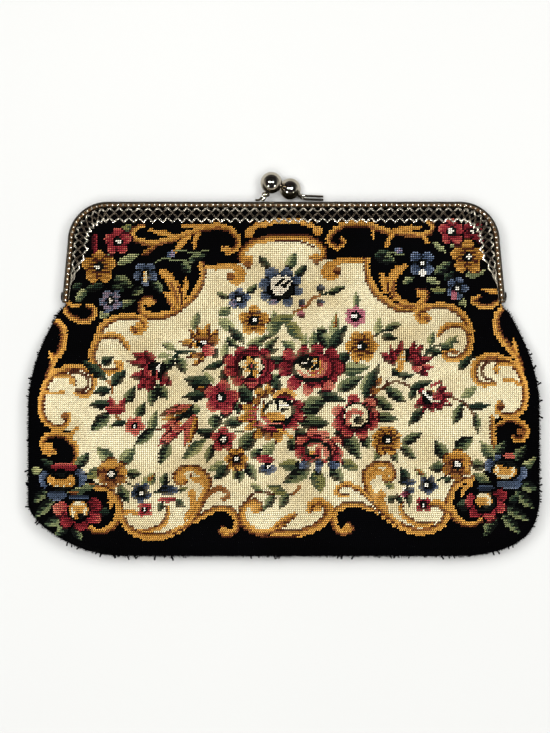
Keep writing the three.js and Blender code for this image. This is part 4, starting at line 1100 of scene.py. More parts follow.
def new_group(name: str, kind: str, takes: dict[str, Role], gives: dict[str, Role]) -> Tree:
    """Make an empty node group with named sockets.

    Args:
        name: Its name.
        kind: "GeometryNodeTree" or "ShaderNodeTree".
        takes: Its inputs.
        gives: Its outputs.

    Returns:
        The group.
    """
    tree = bpy.data.node_groups.new(name, kind)
    for way, sockets in (("INPUT", takes), ("OUTPUT", gives)):
        for socket, role in sockets.items():
            tree.interface.new_socket(name=socket, in_out=way, socket_type=role.value)
    return tree


def grow(obj: Thing, tree: Tree, **values: object) -> Thing:
    """Run a Geometry Nodes tree on an object and keep the result as its plain mesh.

    Args:
        obj: The object whose mesh the tree starts from.
        tree: The tree.
        values: The tree's inputs, by name with underscores for spaces.

    Returns:
        The same object, with its new mesh.
    """
    modifier = obj.modifiers.new(tree.name, "NODES")
    modifier.node_group = tree
    for item in tree.interface.items_tree:
        key = item.name.replace(" ", "_")
        if item.in_out == "INPUT" and key in values:
            modifier[item.identifier] = values[key]
    graph = bpy.context.evaluated_depsgraph_get()
    grown = obj.evaluated_get(graph)
    made = bpy.data.meshes.new_from_object(grown, preserve_all_data_layers=True, depsgraph=graph)
    obj.modifiers.clear()
    start = obj.data
    obj.data = made
    made.name = obj.name
    bpy.data.meshes.remove(start)
    return obj


def put_in_scene(name: str, data: bpy.types.ID) -> Thing:
    """Make an object of a mesh, a lamp or a camera.

    Args:
        name: Its name.
        data: What it shows.

    Returns:
        The object, linked into the scene.
    """
    obj = bpy.data.objects.new(name, data)
    bpy.context.collection.objects.link(obj)
    return obj


def new_object(name: str, vertices: np.ndarray, faces: list = (), edges: list = ()) -> Thing:
    """Make an object from arrays in millimetres.

    Args:
        name: Its name.
        vertices: One row for each vertex, in the row frame.
        faces: Corners of each face.
        edges: Ends of each loose edge.

    Returns:
        The object.
    """
    mesh = bpy.data.meshes.new(name)
    points = (np.asarray(vertices) * MM).tolist()
    mesh.from_pydata(points, [tuple(edge) for edge in edges], [tuple(face) for face in faces])
    mesh.update()
    return put_in_scene(name, mesh)


def path_object(name: str, points: np.ndarray) -> Thing:
    """Make an open line of edges through points."""
    return new_object(name, points, edges=[(k, k + 1) for k in range(len(points) - 1)])


def give_attribute(mesh: bpy.types.Mesh, name: str, kind: str, values: np.ndarray) -> None:
    """Store one value for each vertex.

    Args:
        mesh: The mesh.
        name: The attribute's name.
        kind: "FLOAT", "FLOAT_VECTOR" or "FLOAT_COLOR".
        values: One row for each vertex.
    """
    layer = mesh.attributes.new(name, kind, "POINT")
    key = {"FLOAT": "value", "FLOAT_VECTOR": "vector", "FLOAT_COLOR": "color"}[kind]
    layer.data.foreach_set(key, np.ascontiguousarray(values, dtype=np.float32).ravel())


# Angles, in degrees, from which an edge of joined or of turned metal is sharp
JOINED_SHARP = 40.0
TURNED_SHARP = 35.0


def mesh_points(mesh: bpy.types.Mesh) -> tuple[np.ndarray, np.ndarray, np.ndarray]:
    """Read where a mesh's vertices are.

    Args:
        mesh: The mesh.

    Returns:
        Across, up and height, in millimetres.
    """
    at = np.empty(len(mesh.vertices) * 3)
    mesh.vertices.foreach_get("co", at)
    across, row, height = at.reshape(-1, 3).T / MM
    return across, row + MIDDLE_UP, height


def join(name: str, parts: list[Thing]) -> Thing:
    """Join objects into one new one, smooth but for its sharp edges.

    Args:
        name: Name of the joined object.
        parts: The objects, which are removed.

    Returns:
        The joined object, with outward normals.
    """
    shape = bmesh.new()
    for part in parts:
        shape.from_mesh(part.data)
    bmesh.ops.recalc_face_normals(shape, faces=shape.faces)
    mesh = bpy.data.meshes.new(name)
    shape.to_mesh(mesh)
    shape.free()
    for part in parts:
        bpy.data.objects.remove(part)
    mesh.shade_smooth()
    mesh.set_sharp_from_angle(angle=math.radians(JOINED_SHARP))
    return put_in_scene(name, mesh)


def dress(obj: Thing, finish: Finish, slot: str, *nodes: str) -> Thing:
    """Give a piece its material and its place in the model.

    Args:
        obj: The piece.
        finish: Its material.
        slot: Not used.
        nodes: The solids that it stands for.

    Returns:
        The same piece.
    """
    obj.data.materials.clear()
    obj.data.materials.append(finish)
    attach(obj, BODY)
    if nodes:
        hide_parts(*nodes)
    triangles = sum(len(face.vertices) - 2 for face in obj.data.polygons)
    LOG.info("%s: %d triangles", obj.name, triangles)
    return obj


def wear_group() -> Tree:
    """Build the effect of soiling and loose fibre that every cloth shares.

    Returns:
        A group that takes the size of the patches and of the fibres and gives a soil mask and a fibre height.
    """
    tree = new_group("cloth_wear", "ShaderNodeTree",
                     {"Patch Scale": Role.NUMBER, "Fibre Scale": Role.NUMBER},
                     {"Soil": Role.NUMBER, "Fibre": Role.NUMBER})
    s = Sketch(tree)
    entry = s.node("NodeGroupInput")
    place = s.node("ShaderNodeTexCoord").outputs["Object"]
    soil = s.node("ShaderNodeTexNoise",
                  {"Vector": place, "Scale": entry.outputs["Patch Scale"], "Detail": 4.0})
    stretch = s.node("ShaderNodeMapping", {"Vector": place, "Rotation": (0, 0, 0.7), "Scale": (1, 3.5, 1)})
    fibre = s.node("ShaderNodeTexNoise", {"Vector": stretch.outputs[0], "Scale": entry.outputs["Fibre Scale"],
                                          "Detail": 4.0, "Roughness": 0.7})
    soiled = s.ramp(soil.outputs["Fac"], 0.35, 0.7)
    s.node("NodeGroupOutput", {"Soil": soiled, "Fibre": fibre.outputs["Fac"]})
    return tree


def tarnish_group() -> Tree:
    """Build the effect of tarnish and fine scratches that the metals share.

    Returns:
        A group that takes the size of the spots and gives a tarnish mask and a scratch height.
    """
    tree = new_group("tarnish", "ShaderNodeTree", {"Spot Scale": Role.NUMBER},
                     {"Mask": Role.NUMBER, "Scratch": Role.NUMBER})
    s = Sketch(tree)
    entry = s.node("NodeGroupInput")
    place = s.node("ShaderNodeTexCoord").outputs["Object"]
    spots = s.node("ShaderNodeTexNoise", {"Vector": place, "Scale": entry.outputs["Spot Scale"],
                                          "Detail": 5.0, "Roughness": 0.65})
    stretch = s.node("ShaderNodeMapping", {"Vector": place, "Rotation": (0.4, 0.2, 0.9), "Scale": (1, 14, 3)})
    s.node("NodeGroupOutput", {"Mask": s.ramp(spots.outputs["Fac"], 0.42, 0.66),
                               "Scratch": s.noise(stretch.outputs[0], 900.0)})
    return tree


def new_material(name: str) -> tuple[Finish, Sketch, bpy.types.Node]:
    """Make a material to be filled in.

    Args:
        name: Its name.

    Returns:
        The material, a sketch of its nodes, and its shader.
    """
    material = bpy.data.materials.new(name)
    material.use_nodes = True
    return material, Sketch(material.node_tree), material.node_tree.nodes["Principled BSDF"]


# Height, in metres, that a full step of any finish's bump stands for
BUMP_HEIGHT = 0.0002


@dataclass(frozen=True)
class ClothFinish:
    """A woven or stitched cloth.

    Attributes:
        name: Name of the material.
        soil: sRGB colour that soiling is multiplied by.
        colour: sRGB colour of the cloth, where the piece has no colours of its own.
        attribute: Name of the piece's colour attribute, or nothing.
        thread: Spacing of the weave, or 0 where the threads are modelled.
        patch: How fine the patches of soiling are.
        fibre: How fine the fibres are.
        bump: How strongly weave and fibres turn the surface.
        shine: Specular level.
    """

    name: str
    soil: int
    colour: int = 0
    attribute: str = ""
    thread: float = 0.0
    patch: float = 45.0
    fibre: float = 2600.0
    bump: float = 0.25
    shine: float = 0.008

    def build(self, wear: Tree) -> Finish:
        """Make the material.

        Args:
            wear: The shared group for soiling and fibre.

        Returns:
            The material.
        """
        material, s, shader = new_material(self.name)
        links = material.node_tree.links
        wear_and_painted_light = s.node("ShaderNodeGroup", node_tree=wear)
        wear_and_painted_light.inputs["Patch Scale"].default_value = self.patch
        wear_and_painted_light.inputs["Fibre Scale"].default_value = self.fibre
        if self.attribute:
            base = s.node("ShaderNodeAttribute", attribute_name=self.attribute).outputs["Color"]
        else:
            base = rgba(self.colour)
        soiled = s.blend(wear_and_painted_light.outputs["Soil"], base, rgba(self.soil), "MULTIPLY")
        # Painted shade: the colour darkens where the fibre height is low, as shade in the hollows between
        # fibres.
        deep = s.blend(s.ramp(wear_and_painted_light.outputs["Fibre"], 0.25, 0.6), (0.62, 0.6, 0.58, 1), (1, 1, 1, 1))
        height = wear_and_painted_light.outputs["Fibre"]
        if self.thread:
            place = s.node("ShaderNodeTexCoord").outputs["Object"]
            scale = math.tau / (20 * self.thread * MM)
            wave = {"Vector": place, "Scale": scale, "Distortion": 1.2, "Detail": 1.0}
            across, along = (
                s.node("ShaderNodeTexWave", wave, bands_direction=way).outputs["Fac"] for way in ("X", "Y")
            )
            weave = s.maths("MAXIMUM", across, along)
            height = s.maths("ADD", s.maths("MULTIPLY", height, 0.35), weave)
            # Painted shade in the weave's grooves: where the weave is low the colour darkens further.
            deep = s.blend(weave, (0.45, 0.45, 0.45, 1), deep)
        links.new(s.blend(1.0, soiled, deep, "MULTIPLY"), shader.inputs["Base Color"])
        bump = s.node("ShaderNodeBump", {"Strength": self.bump, "Distance": BUMP_HEIGHT, "Height": height})
        links.new(bump.outputs[0], shader.inputs["Normal"])
        links.new(s.maths("MULTIPLY_ADD", wear_and_painted_light.outputs["Fibre"], 0.2, 0.8), shader.inputs["Roughness"])
        shader.inputs["Specular IOR Level"].default_value = self.shine
        return material


@dataclass(frozen=True)
class MetalFinish:
    """A plated metal: bright where bare and dark with tarnish elsewhere, with painted highlights on the frame.

    Attributes:
        name: Name of the material.
        bright: sRGB colour of the bare metal, which on the frame also stands for painted highlights.
        dark: sRGB colour of the tarnish.
        smooth: Roughness of the bright metal.
        dull: Roughness that the tarnish adds.
        spots: How fine the spots of tarnish are.
        relief: How strongly scratches and casting marks turn its surface.
        attribute: Name of the attribute that says how far the metal is bared by wear and where highlights are
            painted, or nothing.
    """

    name: str
    bright: int
    dark: int
    smooth: float
    dull: float
    spots: float
    relief: float
    attribute: str = ""

    def build(self, tarnish: Tree) -> Finish:
        """Make the material.

        Args:
            tarnish: The shared group for tarnish and scratches.

        Returns:
            The material.
        """
        material, s, shader = new_material(self.name)
        links = material.node_tree.links
        aged = s.node("ShaderNodeGroup", node_tree=tarnish)
        aged.inputs["Spot Scale"].default_value = self.spots
        rubbed = s.maths("MULTIPLY_ADD", aged.outputs["Mask"], -0.5, 1.0)
        # On the frame the attribute also carries painted highlights, so its bright colour there is partly
        # painted glint.
        if self.attribute:
            wear_and_painted_light = s.node("ShaderNodeAttribute", attribute_name=self.attribute).outputs["Fac"]
            rubbed = s.maths("MULTIPLY", rubbed, wear_and_painted_light)
        mask = s.maths("SUBTRACT", 1.0, rubbed)
        links.new(s.blend(mask, rgba(self.bright), rgba(self.dark)), shader.inputs["Base Color"])
        shader.inputs["Metallic"].default_value = 1.0
        links.new(s.maths("MULTIPLY_ADD", mask, self.dull, self.smooth), shader.inputs["Roughness"])
        bump = s.node("ShaderNodeBump", {"Strength": self.relief, "Distance": BUMP_HEIGHT,
                                         "Height": aged.outputs["Scratch"]})
        links.new(bump.outputs[0], shader.inputs["Normal"])
        return material


@dataclass(frozen=True)
class Arch:
    """The frame's outline: two arms, two round corners and a straight top.

    Attributes:
        top_up, hinge_up: Heights of the top edge and of the arms' ends.
        top_half, hinge_half: Half the width where the arms meet the corners, and at the arms' ends.
        corner: Radius of the corners.
        sheet: Thickness of the metal.
        border: How far the pierced border reaches in from the edge.
        border_under: Height of the border's underside above the parting plane.
        taper_up, rail_up: Heights between which the border narrows down to the bare rail.
    """

    top_up: float = 149.0
    hinge_up: float = 106.5
    top_half: float = 91.0
    hinge_half: float = 93.4
    corner: float = 16.8
    sheet: float = 1.2
    border: float = 8.9
    border_under: float = 4.8
    taper_up: float = 127.0
    rail_up: float = 113.5

    @property
    def arm_run(self) -> float:
        """Height of an arm below its corner."""
        return self.top_up - self.corner - self.hinge_up

    @property
    def arm(self) -> float:
        """Length of an arm."""
        return math.hypot(self.arm_run, self.hinge_half - self.top_half)

    @property
    def bend(self) -> float:
        """Length of a corner's arc."""
        return self.corner * math.pi / 2

    @property
    def length(self) -> float:
        """Length of the whole arch along its outer edge."""
        return 2 * (self.arm + self.bend + self.top_half - self.corner)

    def point(self, station: np.ndarray, inset: np.ndarray | float) -> np.ndarray:
        """Find points on the arch.

        Args:
            station: Distances along the outer edge from the left hinge.
            inset: Distances inside that edge.

        Returns:
            Across and up, one row for each point.
        """
        right = station > self.length / 2
        s = np.where(right, self.length - station, station)
        t = s / self.arm
        angle = (s - self.arm) / self.corner
        middle = self.top_half - self.corner
        on_arm, on_bend = s < self.arm, s < self.arm + self.bend
        radius = self.corner - inset
        across = np.select(
            [on_arm, on_bend],
            [mix(self.hinge_half, self.top_half, t) - inset, middle + radius * np.cos(angle)],
            middle - (s - self.arm - self.bend),
        )
        up = np.select(
            [on_arm, on_bend],
            [self.hinge_up + self.arm_run * t, self.top_up - self.corner + radius * np.sin(angle)],
            self.top_up - inset,
        )
        return np.stack([np.where(right, across, -across), up], axis=-1)

    def line(self, station: np.ndarray, inset: np.ndarray | float, rise: float) -> np.ndarray:
        """Give points of the arch in the row frame, at a rise above the parting plane."""
        across, up = self.point(station, inset).T
        return in_row_frame(across, up, np.full(len(up), PARTING + rise))

    def taper(self, up: np.ndarray) -> np.ndarray:
        """Give the border's share of its whole width at heights above the base."""
        return np.clip((up - self.rail_up) / (self.taper_up - self.rail_up), 0, 1)

    def inset(self, across: np.ndarray, up: np.ndarray) -> np.ndarray:
        """Find how far points lie inside the outer edge.

        Args:
            across: Places across the bag.
            up: Heights above its base.

        Returns:
            Distances, below zero outside the edge.
        """
        low = self.top_up - self.corner
        middle = self.top_half - self.corner
        edge = mix(self.hinge_half, self.top_half, (up - self.hinge_up) / self.arm_run)
        side = np.abs(across)
        corner = self.corner - np.hypot(side - middle, up - low)
        return np.select([up < low, side > middle], [edge - side, corner], self.top_up - up)


ARCH = Arch()
MIDDLE_UP = (ARCH.top_up + CLASP_TOP) / 2


def in_row_frame(across: np.ndarray, up: np.ndarray, height: np.ndarray) -> np.ndarray:
    """Stack coordinates into points, with "up" counted from the row's origin."""
    return np.stack(np.broadcast_arrays(across, up - MIDDLE_UP, height), axis=-1)


class Dent(NamedTuple):
    """A soft hollow in the front wall, along a line."""

    from_across: float
    from_up: float
    to_across: float
    to_up: float
    width: float
    depth: float


@dataclass(frozen=True)
class Pouch:
    """The form of the bag: where its two walls run.

    Attributes:
        half_width_max: Half the bag's greatest width.
        corner_across, corner_up: Width and height of the round corners at its base.
        shoulder_up, shoulder_draw, shoulder_power: Where its sides start to draw in, how far, and how late.
        shoulder_end: Share of the shoulder from which it runs into the frame's arm.
        edge_round, base_round: How far from its sides and its base the walls round over.
        belly: Height of the front over the seam.
        wall: Thickness of a wall.
        corner_lean, lean_from, lean_over: How far the limp base slips sideways, up to where, and how softly.
        seam_rise, seam_run: How far the seam lies above the parting plane, and how far below the hinges.
        seam_dip, seam_dip_to: Share of that rise that is lost at the base, and up to where.
        mouth_run: How far above the hinges the frame holds the walls apart.
        clear_run, clear_side_run: How far from the frame's top and arms the front reaches its full height.
        clear_from, clear_over: Where the arms start to hold the front down, and how softly.
        crown_fall: Share of the front's height that is lost towards the sides.
        back_swell: How far the back reaches past the seam.
        dents: Soft hollows in the front.
        base_rows, side_rows, top_rows: Rows of a wall's mesh in its corners and between them.
    """

    half_width_max: float = 107.3
    corner_across: float = 37.0
    corner_up: float = 24.0
    shoulder_up: float = 62.0
    shoulder_draw: float = 15.1
    shoulder_power: float = 1.9
    shoulder_end: float = 0.9
    edge_round: float = 13.0
    base_round: float = 17.0
    belly: float = 17.0
    wall: float = 1.6
    corner_lean: float = 4.0
    lean_from: float = 3.0
    lean_over: float = 18.0
    seam_rise: float = 3.5
    seam_run: float = 45.0
    seam_dip: float = 0.4
    seam_dip_to: float = 20.0
    mouth_run: float = 8.0
    clear_run: float = 62.0
    clear_side_run: float = 34.0
    clear_from: float = 78.0
    clear_over: float = 30.0
    crown_fall: float = 0.16
    back_swell: float = 1.2
    dents: tuple[Dent, ...] = (
        Dent(-84, 104, -52, 84, 9, 1.6),
        Dent(84, 104, 52, 84, 9, 1.6),
        Dent(-30, 124, 30, 124, 12, 1.2),
    )
    base_rows: int = 22
    side_rows: int = 64
    top_rows: int = 14

    def half_width(self, up: np.ndarray) -> np.ndarray:
        """Give half the bag's width.

        Args:
            up: Heights above the bag's base.

        Returns:
            Half widths at those heights.
        """
        keep = ARCH.sheet + GAP
        top_corner = ARCH.top_up - ARCH.corner
        base = self.half_width_max - self.corner_across * (1 - quarter_round(up / self.corner_up))
        t = np.clip((up - self.shoulder_up) / (ARCH.hinge_up - self.shoulder_up), 0, 1)
        drawn = self.half_width_max - self.shoulder_draw * t**self.shoulder_power
        joining = smooth((t - self.shoulder_end) / (1 - self.shoulder_end))
        shoulder = mix(drawn, ARCH.hinge_half - keep, joining)
        arm_share = np.clip((up - ARCH.hinge_up) / (top_corner - ARCH.hinge_up), 0, 1)
        arm = mix(ARCH.hinge_half, ARCH.top_half, arm_share) - keep
        radius = ARCH.corner - keep
        corner = ARCH.top_half - ARCH.corner + np.sqrt(np.clip(radius**2 - (up - top_corner) ** 2, 0, None))
        return np.select(
            [up < self.corner_up, up < self.shoulder_up, up < ARCH.hinge_up - 2 * GAP, up < top_corner],
            [base, self.half_width_max, shoulder, arm],
            corner,
        )

    def lean(self, up: np.ndarray) -> np.ndarray:
        """Give how far the limp base has slipped to the right."""
        return self.corner_lean * (1 - smooth((up - self.lean_from) / self.lean_over))

    def seam(self, up: np.ndarray) -> np.ndarray:
        """Give the height of the seam between front and back."""
        dip = self.seam_dip * smooth((self.seam_dip_to - up) / self.seam_dip_to)
        return PARTING + self.seam_rise * smooth((ARCH.hinge_up - up) / self.seam_run) * (1 - dip)

    def mouth_share(self, up: np.ndarray) -> np.ndarray:
        """Give 0 where the walls are sewn together and 1 where the frame holds them apart."""
        return smooth((up - ARCH.hinge_up) / self.mouth_run)

    def clear(self, across: np.ndarray, up: np.ndarray) -> np.ndarray:
        """Tell how clear points of the bag are of the frame's border.

        Args:
            across: Places across the bag.
            up: Heights above its base.

        Returns:
            Values from 0 under the border to 1 well away from it.
        """
        below = smooth((ARCH.top_up - ARCH.border - 1 - up) / self.clear_run)
        inside = smooth((ARCH.top_half - ARCH.border - 1.5 - np.abs(across)) / self.clear_side_run)
        return below * mix(1, inside, smooth((up - self.clear_from) / self.clear_over))

    def dent_depth(self, across: np.ndarray, up: np.ndarray) -> np.ndarray:
        """Add up how deep the soft dents are.

        Args:
            across: Places across the front.
            up: Heights above its base.

        Returns:
            Depths at those points.
        """
        depth = np.zeros(np.broadcast(across, up).shape)
        for dent in self.dents:
            run = np.array([dent.to_across - dent.from_across, dent.to_up - dent.from_up])
            share = ((across - dent.from_across) * run[0] + (up - dent.from_up) * run[1]) / (run @ run)
            t = np.clip(share, 0, 1)
            away = np.hypot(across - dent.from_across - t * run[0], up - dent.from_up - t * run[1])
            depth = depth + dent.depth * np.exp(-((away / dent.width) ** 2))
        return depth

    def edge_share(self, across: np.ndarray, up: np.ndarray, half: np.ndarray) -> np.ndarray:
        """Tell how far a wall has risen from its seam.

        Args:
            across: Places across the bag.
            up: Heights above its base.
            half: Half the bag's width there.

        Returns:
            Shares from 0 at the seam to 1.
        """
        side = quarter_round((half - np.abs(across)) / self.edge_round)
        base = quarter_round(up / self.base_round)
        return mix(side * base, 1, self.mouth_share(up))

    def front(self, across: np.ndarray, up: np.ndarray, half: np.ndarray, inset: float) -> np.ndarray:
        """Give the height of the front wall.

        Args:
            across: Places across the bag.
            up: Heights above its base.
            half: Half the bag's width there.
            inset: Depth below the outer face.

        Returns:
            Heights above the surface that the bag lies on.
        """
        held_low = ARCH.border_under - GAP
        clear = self.clear(across, up)
        crown = mix(held_low, self.belly, clear) * (1 - self.crown_fall * (across / self.half_width_max) ** 2)
        dented = crown - self.dent_depth(across, up) * clear
        lift = mix(GAP / 2, held_low - inset, self.mouth_share(up))
        held = np.minimum(dented, np.where(clear == 0, held_low, self.belly))
        return self.seam(up) + lift + (held - inset - lift) * self.edge_share(across, up, half)

    def back(self, across: np.ndarray, up: np.ndarray, half: np.ndarray, inset: float) -> np.ndarray:
        """Give the height of the back wall, which lies flat on the surface.

        Args:
            across: Places across the bag.
            up: Heights above its base.
            half: Half the bag's width there.
            inset: Depth below the outer face.

        Returns:
            Heights above that surface.
        """
        held_low = ARCH.border_under - GAP
        clear = smooth(self.clear(across, up) * 4)
        lift = mix(GAP / 2, held_low - inset, self.mouth_share(up))
        reach = mix(held_low, self.seam(up) + self.back_swell, clear)
        free = lift + (reach - inset - lift) * self.edge_share(across, up, half)
        return self.seam(up) - np.minimum(free, self.seam(up) - inset)

    def rows(self, inset: float) -> np.ndarray:
        """Give the heights of a wall's rows, close together where it turns.

        Args:
            inset: Depth of the face below the bag's form.

        Returns:
            Heights above the base, from the bottom up.
        """
        low = inset * 0.9
        top_corner = ARCH.top_up - ARCH.corner
        top = ARCH.top_up - ARCH.sheet - GAP
        base = low + (self.corner_up - low) * (1 - np.cos(np.linspace(0, np.pi / 2, self.base_rows)))
        middle = np.linspace(self.corner_up, top_corner, self.side_rows)[1:]
        corner = mix(top_corner, top, np.sin(np.linspace(0, np.pi / 2, self.top_rows)))[1:]
        return np.concatenate([base, middle, corner])

    def wall_object(self, name: str, is_front: bool, skin: float, columns: int = 88) -> Thing:
        """Build one wall of the bag as a closed shell.

        Args:
            name: Its name.
            is_front: True for the front wall.
            skin: How far its outer face lies below the bag's form, to leave room for stitches.
            columns: Quads across it.

        Returns:
            The wall's object.
        """
        height = self.front if is_front else self.back
        spread = np.sin(np.linspace(-np.pi / 2, np.pi / 2, columns + 1))
        sheets = []
        for inset in (skin, self.wall):
            up = self.rows(inset)[:, None]
            half = self.half_width(up) - inset * (1 - self.mouth_share(up))
            across = half * spread
            sheets.append(in_row_frame(across + self.lean(up), up, height(across, up, half, inset)))
        count, stride = sheets[0].shape[0], columns + 1
        order = np.arange(count * stride).reshape(count, stride)
        inner = order + count * stride
        rim = np.concatenate([order[0, :-1], order[:-1, -1], order[-1, :0:-1], order[:0:-1, 0]])
        inner_rim = rim + count * stride
        faces = [*quads(order), *quads(inner[:, ::-1])]
        faces += list(zip(np.roll(rim, -1), rim, inner_rim, np.roll(inner_rim, -1)))
        if not is_front:
            faces = [tuple(face)[::-1] for face in faces]
        obj = new_object(name, np.concatenate([sheet.reshape(-1, 3) for sheet in sheets]), faces)
        obj.data.shade_smooth()
        return obj


def quads(order: np.ndarray) -> list[tuple[int, int, int, int]]:
    """Turn a grid of vertex numbers into its quads, anticlockwise seen from above."""
    corners = (order[:-1, :-1], order[:-1, 1:], order[1:, 1:], order[1:, :-1])
    return list(zip(*(corner.ravel().tolist() for corner in corners)))


def stitch_tree() -> Tree:
    """Build the tree that works one stitch on every point.

    Returns:
        A tree that takes the stitch's object and the wool, and reads where each point faces.
    """
    tree = new_group("stitch_field", "GeometryNodeTree",
                     {"Canvas": Role.SHAPE, "Stitch": Role.THING, "Wool": Role.FINISH},
                     {"Stitches": Role.SHAPE})
    s = Sketch(tree)
    entry = s.node("NodeGroupInput")
    facing, along, size = (s.vector(name) for name in ("facing", "along", "size"))
    turn = s.node("FunctionNodeAxesToRotation", {"Primary Axis": facing, "Secondary Axis": along},
                  primary_axis="Z", secondary_axis="X")
    single = s.node("GeometryNodeObjectInfo", {"Object": entry.outputs["Stitch"]})
    worked = s.node("GeometryNodeInstanceOnPoints", {
        "Points": entry.outputs["Canvas"], "Instance": single.outputs["Geometry"],
        "Rotation": turn.outputs["Rotation"], "Scale": size})
    s.close(worked.outputs["Instances"], entry.outputs["Wool"], "Stitches")
    return tree


class Ground(Enum):
    """The fields that the stitches are worked in, one piece each."""

    BLACK = "stitches_black_ground"
    CREAM_LEFT = "stitches_panel_left"
    CREAM_RIGHT = "stitches_panel_right"
    SCROLLS = "stitches_scrolls"
    FLOWERS = "stitches_flowers"


